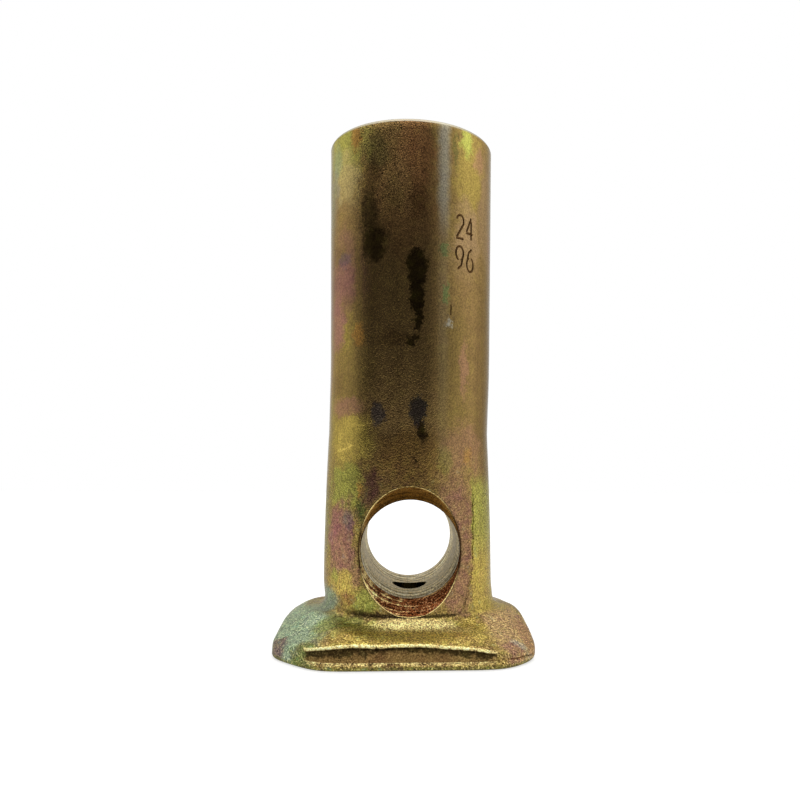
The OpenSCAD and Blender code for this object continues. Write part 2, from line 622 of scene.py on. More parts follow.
        def plan(inset: Number) -> tuple[Field, Field]:
            """Gives the foot's outline, drawn in by an inset."""
            return (size.shift_x + (radius - inset) * cosine, size.shift_y + (radius - inset) * tree.sine)

        on_slope = self.slope(tree)
        front = ahead.ramp(*self.facet_front, soft=True)
        top_round = size.corner_round + (size.front_round - size.corner_round) * front
        between = ahead.ramp(*self.fillet_behind, soft=True) * ahead.fade(*self.fillet_ahead, soft=True)
        fillet = size.small_fillet + (size.wide_fillet - size.small_fillet) * between
        recess = size.ledge * front
        edge_top = on_slope(*plan(recess * 0.5))
        lower = size.lower_round + size.right_round * cosine.ramp(*self.round_right, soft=True)
        under = (*plan(lower), 0.0)
        lip = (*plan(0.0), lower)
        drop = (edge_top[2] - top_round).at_least(size.ledge_z + self.SLIVER)
        facet = (*plan(recess), lower + (size.ledge_z - lower) * front + self.SLIVER)
        side_top = (*plan(recess * 0.5), drop)
        slope_start = on_slope(*plan(recess * 0.5 + top_round))
        slope_end = on_slope(*tree.ring(self.root_r + fillet, 0.0)[:2])
        fillet_z = size.crease + fillet * 0.9
        fillet_end = tree.ring(self.barrel_at(fillet_z), fillet_z)

        def up_slope(t: Field) -> Ring:
            """Runs up the foot's slope."""
            x, y, _ = blend(slope_start, slope_end, t)
            return on_slope(x, y)

        bands = [
            tree.straight(4, (size.shift_x, 0.0, 0.0), under),
            tree.rounded(5, under, (*plan(0.0), 0.0), lip),
            tree.straight(3, lip, facet),
            tree.straight(3, facet, side_top),
            tree.rounded(4, side_top, edge_top, slope_start),
            tree.strip(14, up_slope),
            tree.rounded(5, slope_end, tree.ring(self.root_r, size.crease), fillet_end),
        ]
        return bands, fillet_z

    def slope(self, tree: GeometryTree) -> Callable[[Field, Field], Ring]:
        """Makes the foot's upper face.

        Args:
            tree: The skin's tree.

        Returns:
            A function that lifts a point of the plan onto that face.
        """
        size, fall, root = tree.sizes, self.front_slope(), self.root_r

        def on_slope(x: Field, y: Field) -> Ring:
            """Lifts a point onto the slope.

            Args:
                x: Place across.
                y: Place backwards.

            Returns:
                The point of the slope over that place.
            """
            out = (x * x + y * y).sqrt()
            ease = 1 - size.back_ease * (1 + y / out) * 0.5
            east, facing = x / out, -y / out
            share = out.ramp(root, root + size.swell_reach)
            lift = size.side_swell * (1 - size.swell_skew * east) * facing.ramp(*self.swell_ahead, 1.0, 0.0, soft=True)
            lift = lift * share * (1 - share) * (1 - share) * self.CUBIC_PEAK
            lift = lift * (facing - 0.1 * (east + 1)).ramp(*self.swell_behind, soft=True)
            left = east.near(*self.left_corner).ramp(0.0, 1.0, soft=True)
            right = east.near(*self.right_corner).ramp(0.0, 1.0, soft=True)
            corners = (size.left_swell * left + size.right_swell * right) * facing.ramp(*self.corner_ahead)
            lift = lift + corners * out.ramp(root + self.corner_rise[0], root + self.corner_rise[1])
            deepest = root + size.dip_reach
            dip = out.ramp(root, deepest) * out.ramp(deepest, root + size.dip_end, 1.0, 0.0)
            lift = lift - size.front_dip * dip * facing.ramp(*self.dip_ahead, soft=True)
            return (x, y, (size.crease - fall * (out - root) * ease + lift).at_most(size.crease))

        return on_slope

    def roughen(self, tree: GeometryTree, shape: Socket) -> Socket:
        """Gives the forging its lean and its uneven face.

        Args:
            tree: The skin's tree.
            shape: The true shape.

        Returns:
            The same shape, dented inwards only, so that it keeps to its box.
        """
        size = tree.sizes
        place = tree.node("GeometryNodeInputPosition").outputs[0]
        _, _, z = tree.split(place)
        normal = tree.split(tree.node("GeometryNodeInputNormal").outputs[0])
        on_foot = z.fade(self.crease - 1.5, self.crease + 3.0, soft=True)
        hammered = tree.noise(place, 0.16, 1.0) * 0.7 + tree.noise(place, 0.55, 2.0) * 0.3
        wave = size.barrel_wave + (size.foot_wave - size.barrel_wave) * on_foot
        depth = wave * (hammered - 0.25).at_least(0.0) * 1.8
        off_ends = z.ramp(0.3, 1.4) * z.fade(self.height - 1.2, self.height - 0.5)
        moved = [n * (depth * off_ends) * -1.0 for n in normal]
        offset = tree.vector(moved[0] + self.lean_at(z), moved[1], moved[2])
        return tree.node("GeometryNodeSetPosition", {"Geometry": shape, "Offset": offset}).outputs[0]


@dataclass(frozen=True)
class TappedBore:
    """The bore from the rim: its chamfered mouth, its right-hand thread and its drill point.

    Attributes:
        rim: Height of the rim.
        floor: Height at which the full bore ends.
        minor_r: Radius inside the thread.
        thread_r: Radius at the bottom of the thread.
        pitch: Rise of the thread in one turn.
        mouth_r: Radius of the chamfer at the rim.
        tip: Height of the drill's tip.
        run_in: Height over the floor at which the thread begins.
        run_out: Height over the floor at which it is fully deep.
        over: How far the cutter stands over the rim.
    """

    rim: float
    floor: float
    minor_r: float
    thread_r: float = 12.0
    pitch: float = 3.0
    mouth_r: float = 12.3
    tip: float = 33.7
    run_in: float = 1.0
    run_out: float = 4.0
    over: float = 1.0

    FLANKS = ((0.0, 0.25, 0.267), (0.25, 0.5, 0.289), (0.5, 0.75, 0.155), (0.75, 1.0, 0.289))
    SLACK = 0.001

    def make(self, material: Material) -> Object:
        """Builds the shape that the drill and the tap take out.

        Args:
            material: Finish of the thread.

        Returns:
            The closed cutter.
        """
        tree = GeometryTree("tapped bore", self)
        size = tree.sizes
        turns = math.ceil((self.rim + self.over - self.floor) / self.pitch) + 2
        top = size.rim + size.over

        def helix(t: Field) -> Ring:
            """Winds the rows of the thread up the bore.

            Args:
                t: Share of the way from the floor to over the rim.

            Returns:
                The ring there, which rises by a pitch in its one turn.
            """
            count = t * turns
            share = (count + self.SLACK).part() - self.SLACK
            climb = None
            for start, end, rise in self.FLANKS:
                part = share.ramp(start, end, 0.0, rise)
                climb = part if climb is None else climb + part
            rise = (count + self.SLACK).whole() + climb + tree.turn / FULL_TURN - 1.0
            raw = size.floor + rise * size.pitch
            crest = share.ramp(0.25, 0.5) - share.ramp(0.75, 1.0)
            grown = raw.ramp(size.floor + size.run_in, size.floor + size.run_out)
            cut_r = size.minor_r + (size.thread_r - size.minor_r) * crest * grown
            z = raw.within(size.floor, top)
            return tree.ring(cut_r.at_least(size.mouth_r - size.rim + z), z)

        shape = tree.closed([
            tree.straight(3, (0.0, 0.0, size.tip), tree.ring(size.minor_r, size.floor)),
            tree.strip(turns * len(self.FLANKS), helix),
            tree.straight(1, tree.ring(size.mouth_r + size.over, top), (0.0, 0.0, top)),
        ])
        tree.finish(shape, material)
        return tree.make("tapped_bore")


@dataclass(frozen=True)
class CrossHole:
    """The hole for the anchor bar: drilled through, ringed by the drill, and countersunk on both sides.

    Attributes:
        skin: The forging that it goes through.
        z: Height of its axis.
        radius: Radius of the drilled wall.
        csk_start: Distance from the middle at which the countersinks begin.
        csk_width: How much wider they are outside.
        csk_angle: Their full angle, in degrees.
        break_edge: Width of the broken edge at the mouth.
        ring_start: Distance from the middle at which the drill's rings begin.
        ring_pitch: Distance between the rings.
        ring_width: Share of that distance that a ring takes.
        ring_depth: Depth of a ring.
        ring_stop: Distance of the last ring from the countersink.
        far: Half length of the cutter.
    """

    skin: ForgedSkin
    z: float
    radius: float
    csk_start: float = 13.35
    csk_width: float = 2.7
    csk_angle: float = 84.0
    break_edge: float = 0.19
    ring_start: float = 4.2
    ring_pitch: float = 2.7
    ring_width: float = 0.55
    ring_depth: float = 0.16
    ring_stop: float = 0.6
    far: float = 23.0

    SHARP = 0.05

    @property
    def opening(self) -> float:
        """Gives how fast a countersink widens on its way out."""
        return math.tan(math.radians(self.csk_angle / 2))

    def cone_at(self, depth: Field) -> Field:
        """Gives how much wider than the wall the hole is at a distance from the middle."""
        return ((depth - self.csk_start) * self.opening).within(0.0, self.csk_width)

    def wall_at(self, size: SimpleNamespace, depth: Number) -> Field:
        """Gives the hole's radius, with the drill's rings and the countersink.

        Args:
            size: Inputs of the hole's tree.
            depth: Distance from the middle of the barrel.

        Returns:
            The radius there.
        """
        cone = ((depth - size.csk_start) * self.opening).within(0.0, size.csk_width)
        wave = ((depth - size.ring_start) / size.ring_pitch).part()
        groove = size.ring_depth * (1 - (wave * 2 - 1).size() / size.ring_width).at_least(0.0)
        stop = size.csk_start - size.ring_stop
        ringed = depth.ramp(size.ring_start, size.ring_start + self.SHARP) * depth.fade(stop - self.SHARP, stop)
        return size.radius + cone + groove * ringed

    def make(self, wall_finish: Material, sunk_finish: Material) -> Object:
        """Builds the shape that the drill and the countersink take out.

        Args:
            wall_finish: Finish of the hole's wall.
            sunk_finish: Finish of the countersinks.

        Returns:
            The closed cutter.
        """
        tree = GeometryTree("cross hole", self)
        size, cosine, sine = tree.sizes, tree.cosine, tree.sine
        height = size.z + (size.radius + size.csk_width * 0.6) * cosine
        barrel = self.skin.barrel_at(height)
        leaning = self.skin.lean_at(height)

        def skin_at(r: Number) -> Field:
            """Gives how far out the barrel's skin is, where the hole has a radius."""
            across = r * sine - leaning
            return (barrel * barrel - across * across).sqrt()

        mouth = skin_at(size.radius + 0.4)
        for _ in range(5):
            mouth = (mouth + skin_at(self.wall_at(size, mouth))) * 0.5
        mouth_r = self.wall_at(size, mouth)
        inner = mouth - size.break_edge
        normal_x, normal_y = (mouth_r * sine - leaning) / barrel, mouth / barrel
        facing = sine * normal_x
        out = (1 - facing * facing).sqrt()
        away = (sine - facing * normal_x) / out, -(facing * normal_y) / out, cosine / out

        def ring(r: Number, depth: Number, side: float) -> Ring:
            """Gives a ring round the hole's axis, on one side of the barrel."""
            return (r * sine, depth * side, size.z + r * cosine)

        def broken(side: float) -> Ring:
            """Gives the ring outside the barrel that the edge break runs to.

            Args:
                side: Side of the barrel, -1 in front and 1 behind.

            Returns:
                The ring.
            """
            reach = 2 * size.break_edge
            x, y, z = ring(mouth_r, mouth, side)
            return (x + away[0] * reach, y + (away[1] * reach + size.break_edge * 1.2) * side, z + away[2] * reach)

        def along(start: float, end: float, side: float) -> Callable[[Field], Ring]:
            """Gives the path of the wall between two distances from the middle.

            Args:
                start: Distance where the path begins.
                end: Distance where it ends.
                side: Side of the barrel.

            Returns:
                The path, cut off at the broken edge.
            """
            def path(t: Field) -> Ring:
                """Gives one ring of that path."""
                depth = (start + (end - start) * t).at_most(inner)
                return ring(self.wall_at(size, depth), depth, side)

            return path

        def between(start: Ring, end: Ring) -> Callable[[Field], Ring]:
            """Gives the straight path between two rings."""
            return lambda t: blend(start, end, t)

        strips = []
        for side in (-1.0, 1.0):
            edge = ring(self.wall_at(size, inner), inner, side)
            far = ring(size.radius + size.csk_width - 0.3, size.far, side)
            paths = [
                (1, along(0.0, self.ring_start, side)),
                (40, along(self.ring_start, self.csk_start, side)),
                (6, along(self.csk_start, self.far, side)),
                (1, between(edge, broken(side))),
                (1, between(broken(side), far)),
                (1, between(far, (0.0, size.far * side, size.z))),
            ]
            for rows, path in paths:
                strips.append(tree.strip(rows, path if side > 0 else lambda t, path=path: path(1 - t)))
        _, depth, _ = tree.split(tree.node("GeometryNodeInputPosition").outputs[0])
        in_sink = depth.size().ramp(size.csk_start * MM, (size.csk_start + 0.001) * MM)
        tree.finish(tree.closed(strips), wall_finish, (sunk_finish, in_sink))
        return tree.make("cross_hole")


@dataclass(frozen=True)
class PilotHole:
    """The narrow hole down the axis, which opens in the roof and the floor of the cross hole and ends in the foot.

    Attributes:
        cross_z: Height of the cross hole's axis.
        cross_r: Radius of the cross hole.
        radius: Radius of this hole.
        end: Height at which the full hole ends.
        point: Depth of the drill's point under it.
        top: Height of its other end, inside the bore.
        break_edge: Width of the broken edge at the cross hole.
    """

    cross_z: float
    cross_r: float
    radius: float = 3.4
    end: float = 5.04
    point: float = 2.04
    top: float = 37.0
    break_edge: float = 0.05

    def make(self, material: Material) -> Object:
        """Builds the shape that the pilot drill takes out.

        Args:
            material: Finish of the hole.

        Returns:
            The closed cutter.
        """
        tree = GeometryTree("pilot hole", self)
        size = tree.sizes
        across = size.radius * tree.cosine
        sag = (size.cross_r * size.cross_r - across * across).sqrt()
        floor, roof = size.cross_z - sag, size.cross_z + sag
        broken_r = size.radius + 2 * size.break_edge
        rings = [
            (0.0, 0.0, size.end - size.point),
            tree.ring(size.radius, size.end),
            tree.ring(size.radius, floor - size.break_edge),
            tree.ring(broken_r, floor + 2 * size.break_edge),
            tree.ring(broken_r, roof - 2 * size.break_edge),
            tree.ring(size.radius, roof + size.break_edge),
            tree.ring(size.radius, size.top),
            (0.0, 0.0, size.top),
        ]
        shape = tree.closed([tree.straight(1, a, b) for a, b in zip(rings, rings[1:])])
        tree.finish(shape, material)
        return tree.make("pilot_hole")


@dataclass(frozen=True)
class StudioCamera:
    """The camera that took the photograph, as fitted to it.

    Attributes:
        place: Its place, in millimetres.
        focal_px: Focal length, in pixels of the picture.
        picture_px: Width and height of the picture.
        centre_px: Where the lens looks, from the picture's upper left corner.
        pitch: Tilt upwards, in degrees.
        yaw: Turn to the right.
        roll: Turn about its own line of sight.
        sensor: Width of the sensor, in millimetres.
        near: Nearest distance that it sees, in metres.
    """

    place: tuple[float, float, float] = (-2.094, -145.50, 36.33)
    focal_px: float = 728.3
    picture_px: float = 800.0
    centre_px: tuple[float, float] = (443.6, 481.1)
    pitch: float = -1.822
    yaw: float = 3.482
    roll: float = 0.380
    sensor: float = 36.0
    near: float = 0.005

    def make(self) -> None:
        """Sets the camera up as the scene's own."""
        data = bpy.data.cameras.new("camera")
        data.sensor_width = self.sensor
        data.lens = self.focal_px / self.picture_px * self.sensor
        data.shift_x = 0.5 - self.centre_px[0] / self.picture_px
        data.shift_y = self.centre_px[1] / self.picture_px - 0.5
        data.clip_start = self.near
        camera = bpy.data.objects.new("camera", data)
        bpy.context.collection.objects.link(camera)
        turned = Matrix.Rotation(math.radians(-self.yaw), 4, "Z")
        turned = turned @ Matrix.Rotation(math.radians(90 + self.pitch), 4, "X")
        turned = turned @ Matrix.Rotation(math.radians(self.roll), 4, "Z")
        camera.matrix_world = Matrix.Translation(Vector(self.place) * MM) @ turned
        bpy.context.scene.camera = camera


@dataclass(frozen=True)
class LightTent:
    """A pale tent all round the part, with a dark gap on the camera's side.

    Angles are in degrees, to the right from the front or upwards from the floor.

    Attributes:
        gap_left: Left edge of the gap.
        gap_right: Its right edge.
        gap_middle: Where its left side ends and its right side begins.
        soft_left: Half width of the left edge's blur.
        soft_right: Half width of the right edge's blur.
        gap_light: Light from the gap.
        gap_top: Height at which the gap ends.
        soft_top: Half width of that edge's blur.
        near_left: Light from the tent just left of the gap.
        near_right: Light from the tent just right of it.
        fade: How far from the gap the tent reaches its full light.
        tent_light: Full light of the tent.
        overhead: How much brighter the tent is overhead.
        overhead_from: Height at which it grows brighter.
        overhead_full: Height at which it is as bright as overhead.
    """

    gap_left: float = -76.0
    gap_right: float = 33.0
    gap_middle: float = -45.0
    soft_left: float = 2.0
    soft_right: float = 12.0
    gap_light: float = 0.15
    gap_top: float = 38.0
    soft_top: float = 6.0
    near_left: float = 0.55
    near_right: float = 0.42
    fade: float = 55.0
    tent_light: float = 1.0
    overhead: float = 1.6
    overhead_from: float = 42.0
    overhead_full: float = 68.0

    def make(self) -> None:
        """Sets the world up: white to the camera, and the tent to everything else."""
        world = bpy.data.worlds.new("light tent")
        world.use_nodes = True
        bpy.context.scene.world = world
        tree = Tree(world.node_tree)
        world.node_tree.nodes.clear()
        x, y, z = tree.split(tree.node("ShaderNodeTexCoord").outputs["Generated"])
        azimuth = tree.math("ARCTAN2", x, -y) * DEGREES
        height = tree.math("ARCTAN2", z, (x * x + y * y).sqrt()) * DEGREES

        def edge(angle: Field, middle: float, blur: float) -> Field:
            """Gives 0 before a blurred edge and 1 after it."""
            return angle.ramp(middle - blur, middle + blur, soft=True)

        inside = edge(azimuth, self.gap_left, self.soft_left) * (1 - edge(azimuth, self.gap_right, self.soft_right))
        low = 1 - edge(height, self.gap_top, self.soft_top)
        left = azimuth.ramp(self.gap_left - self.fade, self.gap_left, 0.0, 1 - self.near_left, soft=True)
        right = azimuth.ramp(self.gap_right, self.gap_right + self.fade, 1 - self.near_right, 0.0, soft=True)
        on_right = azimuth.ramp(self.gap_middle, self.gap_middle + 1)
        beside = 1 - (left * (1 - on_right) + right * on_right) * low
        above = height.ramp(self.overhead_from, self.overhead_full, 1.0, self.overhead, soft=True)
        strength = self.tent_light * beside * above
        strength = strength + (self.gap_light - strength) * inside * low
        strength = strength + (1.0 - strength) * seen_by(tree, "Is Camera Ray", "Is Transmission Ray")
        light = tree.node("ShaderNodeBackground", {"Color": (1, 1, 1, 1), "Strength": strength})
        tree.node("ShaderNodeOutputWorld", {0: light.outputs[0]})


@dataclass(frozen=True)
class StudioFloor:
    """The plain pale floor.

    Attributes:
        half: Half of its width.
        drop: How far it lies under the part.
        paint: Its colour.
        glow: How much it brightens to white where it is only looked at.
    """

    half: float = 600.0
    drop: float = 0.02
    paint: Colour = (200, 200, 200)
    glow: float = 0.6

    def make(self) -> None:
        """Lays the floor just under the part."""
        mesh = bpy.data.meshes.new("floor")
        h, z = self.half * MM, -self.drop * MM
        mesh.from_pydata([(-h, -h, z), (h, -h, z), (h, h, z), (-h, h, z)], [], [(0, 1, 2, 3)])
        floor = bpy.data.objects.new("floor", mesh)
        bpy.context.collection.objects.link(floor)
        paint = bpy.data.materials.new("pale_floor")
        paint.use_nodes = True
        tree = Tree(paint.node_tree)
        paint.node_tree.nodes.clear()
        seen = seen_by(tree, "Is Camera Ray", "Is Glossy Ray", "Is Transmission Ray")
        matt = tree.node("ShaderNodeBsdfDiffuse", {"Color": linear(self.paint)})
        glow = tree.node("ShaderNodeEmission", {"Color": (1, 1, 1, 1), "Strength": seen * self.glow})
        both = tree.node("ShaderNodeAddShader", {0: matt.outputs[0], 1: glow.outputs[0]})
        tree.node("ShaderNodeOutputMaterial", {0: both.outputs[0]})
        mesh.materials.append(paint)


def seen_by(tree: Tree, *rays: str) -> Field:
    """Gives 1 where a ray is one of some kinds.

    Args:
        tree: Shader tree that asks.
        rays: Outputs of the Light Path node.

    Returns:
        1 for those rays and 0 for all others.
    """
    path = tree.node("ShaderNodeLightPath")
    first, *others = [Field(tree, path.outputs[ray]) for ray in rays]
    for other in others:
        first = first.at_least(other)
    return first


class Tint(Enum):
    """Colours of the zinc's film, as they look on a screen under plain white light."""

    SILVER = (160, 156, 140)
    STRAW = (182, 162, 108)
    GOLD = (158, 132, 76)
    BROWN = (142, 114, 72)
    COPPER = (150, 100, 64)
    RUST = (150, 86, 46)
    UMBER = (96, 70, 42)
    SOOT = (34, 24, 14)
    VIOLET = (112, 92, 116)
    SLATE = (84, 84, 96)
    TEAL = (122, 150, 130)
    GREEN = (104, 126, 68)
    LIME = (150, 152, 72)
    YELLOW = (176, 154, 76)
    ORANGE = (176, 130, 66)
    PINK = (164, 120, 96)
    PEACH = (176, 144, 106)
    MAGENTA = (150, 100, 98)
    PLUM = (148, 84, 100)


FILM_STEPS = (
    (0.00, Tint.MAGENTA),
    (0.16, Tint.PINK),
    (0.32, Tint.BROWN),
    (0.50, Tint.GOLD),
    (0.66, Tint.YELLOW),
    (0.82, Tint.LIME),
    (1.00, Tint.TEAL),
)


@dataclass(frozen=True)
class Stain:
    """A soft-edged patch of the zinc's film.

    Its place and half sizes are an azimuth in degrees (0 at the front, more to the right) and a height on the barrel,
    and x and y in plan on the foot.

    Attributes:
        at: Its middle.
        half: Its half sizes.
        tint: Colour of the film there.
        tone: How bright that is.
        strength: How much it covers.
        soft: Half width of its blurred edge, as a share of its size.
    """

    at: Point
    half: Point
    tint: Tint
    tone: float = 1.0
    strength: float = 1.0
    soft: float = 0.4


BROAD_STAINS = (
    # the front, from the rim down: browner than the flanks
    Stain((-8, 62), (30, 46), Tint.BROWN, 1.0, 0.9, 0.4),
    Stain((-6, 84), (26, 12), Tint.COPPER, 0.9, 0.35),
    Stain((0, 36), (26, 5), Tint.ORANGE, 0.62, 0.5),
    # the left flank
    Stain((-58, 93), (24, 6), Tint.LIME, 1.25, 0.65),
    Stain((-50, 86), (12, 5), Tint.STRAW, 1.1, 0.75),
    Stain((-66, 84), (8, 6), Tint.SILVER, 0.85, 0.6),
    Stain((-50, 79.5), (20, 4.5), Tint.BROWN, 1.14, 0.8),
    Stain((-52, 70), (22, 7), Tint.MAGENTA, 0.88, 0.5),
    Stain((-63, 61), (10, 6), Tint.MAGENTA, 1.15, 0.75),
    Stain((-50, 52), (22, 5), Tint.GOLD, 0.82, 0.8),
    Stain((-45, 40.4), (17, 4.2), Tint.YELLOW, 1.3, 0.9),
    Stain((-50, 31.5), (20, 4), Tint.LIME, 1.0, 0.9),
    Stain((-48, 21), (14, 6.5), Tint.MAGENTA, 0.9, 0.95),
    Stain((-60, 23), (8, 4), Tint.PLUM, 1.0, 0.7),
    Stain((-48, 12.9), (17, 3), Tint.YELLOW, 1.22, 0.92),
    # the right flank
    Stain((55, 60), (34, 44), Tint.BROWN, 1.0, 0.65),
    Stain((42, 88), (13, 7), Tint.YELLOW, 1.0, 0.7),
    Stain((40, 76), (12, 7), Tint.PEACH, 0.96, 0.75),
    Stain((64, 82), (10, 9), Tint.PEACH, 0.82, 0.7),
    Stain((50, 66), (22, 8), Tint.BROWN, 1.05, 0.6),
    Stain((76, 75), (8, 3.5), Tint.PINK, 0.95, 0.7),
    Stain((66, 50), (17, 22), Tint.BROWN, 0.7, 0.9),
    Stain((30, 48), (14, 16), Tint.GOLD, 0.68, 0.8),
    Stain((40, 38), (20, 4), Tint.PINK, 0.95, 0.5),
    Stain((31, 20), (15.5, 14), Tint.PINK, 0.68, 0.95),
    # the back, which the photograph doesn't show
    Stain((-98, 84), (26, 9), Tint.LIME, 0.95, 0.55),
    Stain((-92, 67), (24, 10), Tint.PINK, 0.92, 0.6),
    Stain((-84, 52), (16, 7), Tint.ORANGE, 0.9, 0.5),
    Stain((-88, 38), (24, 8), Tint.YELLOW, 0.95, 0.6),
    Stain((-86, 24), (20, 7), Tint.LIME, 0.85, 0.6),
    Stain((-104, 16), (16, 7), Tint.PINK, 0.85, 0.55),
    Stain((100, 80), (20, 10), Tint.LIME, 0.9, 0.5),
    Stain((104, 28), (22, 10), Tint.PINK, 0.85, 0.55),
    Stain((146, 78), (12, 10), Tint.MAGENTA, 0.85, 0.45),
    Stain((120, 60), (22, 14), Tint.ORANGE, 0.95, 0.7),
    Stain((144, 31), (16, 11), Tint.LIME, 0.95, 0.6),
    Stain((-130, 42), (20, 14), Tint.PINK, 0.85, 0.55),
    Stain((-144, 75), (16, 10), Tint.YELLOW, 1.05, 0.6),
)
SMALL_STAINS = (
    # the left flank
    Stain((-41, 94), (5, 2.4), Tint.ORANGE, 0.85, 0.9),
    Stain((-62, 91), (7, 2.6), Tint.TEAL, 1.1, 0.35),
    Stain((-38, 67), (3.5, 8), Tint.GOLD, 0.8, 0.7),
    Stain((-57, 73.5), (9, 2), Tint.BROWN, 0.7, 0.7),
    Stain((-54, 69), (13, 3), Tint.MAGENTA, 0.92, 0.6),
    Stain((-52, 72.5), (8, 1.2), Tint.VIOLET, 0.7, 0.5),
    Stain((-24, 90.5), (8, 3.5), Tint.GREEN, 0.3, 0.5),
    Stain((-3, 92), (6, 5), Tint.COPPER, 0.95, 0.45),
    Stain((-12, 83), (7, 3), Tint.GOLD, 0.8, 0.4),
    Stain((-38, 58.4), (4.5, 2), Tint.ORANGE, 1.15, 0.9),
    Stain((-60, 50), (8, 2.4), Tint.BROWN, 0.75, 0.6),
    Stain((-49, 45.5), (16, 1.6), Tint.PINK, 1.05, 0.8),
    Stain((-44, 42.3), (6, 1.4), Tint.YELLOW, 1.45, 0.8),
    Stain((-63.5, 33), (2.2, 4), Tint.BROWN, 0.75, 0.6),
    Stain((-34.5, 30.6), (2.4, 1.6), Tint.ORANGE, 1.1, 0.8),
    Stain((-33.5, 26.8), (4, 2.4), Tint.GREEN, 0.5, 0.9),
    Stain((-26, 31.2), (6.5, 3.2), Tint.PLUM, 0.3, 0.9),
    Stain((-36, 21.5), (3, 3.5), Tint.YELLOW, 0.95, 0.75),
    Stain((-29, 10.3), (10, 2), Tint.LIME, 1.16, 0.95),
    Stain((-42, 10.6), (6, 1.2), Tint.COPPER, 0.7, 0.8),
    Stain((-36, 14.6), (5, 2.0), Tint.PINK, 0.95, 0.8),
    Stain((-57, 14.4), (5, 1.6), Tint.LIME, 1.05, 0.7),
    Stain((-43, 25), (5, 2.0), Tint.SLATE, 1.1, 0.5),
    Stain((-51, 19.5), (8, 3.0), Tint.PINK, 1.0, 0.55),
    Stain((-68, 9.2), (14, 2.6), Tint.TEAL, 1.0, 0.9),
    # the dark blotches of the front
    Stain((-30, 80), (6, 4.5), Tint.SOOT, 1.8, 0.8, 0.45),
    Stain((-25, 74.5), (8, 3.0), Tint.SOOT, 1.1, 0.88, 0.3),
    Stain((-18, 74.2), (1.6, 0.9), Tint.GOLD, 0.8, 0.7),
    Stain((-27, 86.5), (5, 2.4), Tint.UMBER, 0.8, 0.6),
    Stain((3.5, 82), (5, 3.6), Tint.COPPER, 0.32, 0.7),
    Stain((6, 90), (8, 6), Tint.COPPER, 0.85, 0.6),
    Stain((3.0, 70), (7, 3.6), Tint.SOOT, 0.7, 0.95, 0.15),
    Stain((3.0, 65), (5, 3.4), Tint.SOOT, 0.6, 0.96, 0.15),
    Stain((3.4, 61.5), (2.6, 2.8), Tint.SOOT, 0.6, 0.96, 0.15),
    Stain((-1.5, 56.9), (3.4, 0.9), Tint.SOOT, 0.6, 1.0),
    Stain((3.5, 57.2), (2.2, 0.6), Tint.SOOT, 0.8, 1.0),
    Stain((-12, 57.5), (9, 1.4), Tint.UMBER, 0.9, 0.5),
    Stain((4.5, 44.5), (5.2, 3.2), Tint.SLATE, 0.28, 0.96, 0.15),
    Stain((7.5, 41.2), (3.6, 1.8), Tint.SOOT, 0.8, 0.96, 0.15),
    Stain((-22, 44), (5, 2.2), Tint.SLATE, 0.55, 0.8, 0.2),
    Stain((3.7, 35.8), (1.2, 0.4), Tint.SOOT, 0.5, 1.0),
    Stain((0, 31), (20, 2.2), Tint.UMBER, 1.3, 0.5),
    # the right flank
    Stain((29.3, 91.5), (1.6, 3.4), Tint.GREEN, 0.6, 0.45),
    Stain((39, 93.4), (5, 2.4), Tint.LIME, 1.6, 0.95),
    Stain((52, 91), (6, 2.2), Tint.PINK, 1.05, 0.6),
    Stain((22, 73.4), (3.4, 1.0), Tint.GREEN, 1.0, 0.85),
    Stain((23.6, 65.6), (1.8, 1.7), Tint.GREEN, 1.15, 0.9),
    Stain((25.4, 60.3), (2.2, 0.9), Tint.SILVER, 1.25, 0.9),
    Stain((38, 52.4), (3.6, 5), Tint.PINK, 1.1, 0.6),
    Stain((22, 36), (6, 2.4), Tint.LIME, 0.8, 0.4),
    Stain((43, 36.5), (4, 1.6), Tint.ORANGE, 1.0, 0.6),
    Stain((14, 27.5), (6, 2), Tint.UMBER, 1.2, 0.6),
)
FOOT_STAINS = (
    Stain((-20.5, -9), (6.8, 13), Tint.TEAL, 1.74, 0.95, 0.35),
    Stain((-23.8, -14.5), (1.6, 3.0), Tint.VIOLET, 0.8, 0.9),
    Stain((-19.4, -20.4), (3.2, 2.2), Tint.GREEN, 1.0, 0.9),
    Stain((-13.0, -15.5), (4.4, 3.4), Tint.GREEN, 1.6, 0.7),
    Stain((9.5, -18.0), (4.5, 2.4), Tint.LIME, 1.35, 0.7),
    # painted highlight: the bright band just in front of the barrel's root
    Stain((-1, -17.8), (12, 1.7), Tint.STRAW, 1.8, 0.95, 0.3),
    Stain((-10, -17.4), (4.6, 1.6), Tint.LIME, 1.5, 0.8),
    Stain((-6, -19.4), (5, 0.8), Tint.LIME, 1.1, 0.7),
    Stain((8, -19.6), (5, 0.8), Tint.COPPER, 1.3, 0.6),
    # painted light: lifts the lower slope, where it reflects the dark gap
    Stain((0, -20.6), (13, 1.2), Tint.GOLD, 1.6, 0.9),
    Stain((-5, -20.4), (6, 0.7), Tint.GREEN, 1.6, 0.6),
    Stain((12, -17), (3.2, 3.2), Tint.YELLOW, 1.28, 0.9),
    Stain((18.6, -13), (5.2, 9), Tint.PEACH, 1.22, 0.95, 0.35),
    Stain((21.5, -13), (1.6, 5), Tint.PINK, 1.1, 0.8, 0.35),
    Stain((17.8, -19.5), (2.2, 1.4), Tint.MAGENTA, 1.0, 0.7),
    Stain((19.6, -18.0), (1.6, 1.0), Tint.SILVER, 1.3, 0.8),
    Stain((14, 14), (9, 8), Tint.ORANGE, 1.0, 0.7),
    Stain((-14, 15), (9, 7), Tint.GREEN, 1.0, 0.6),
)


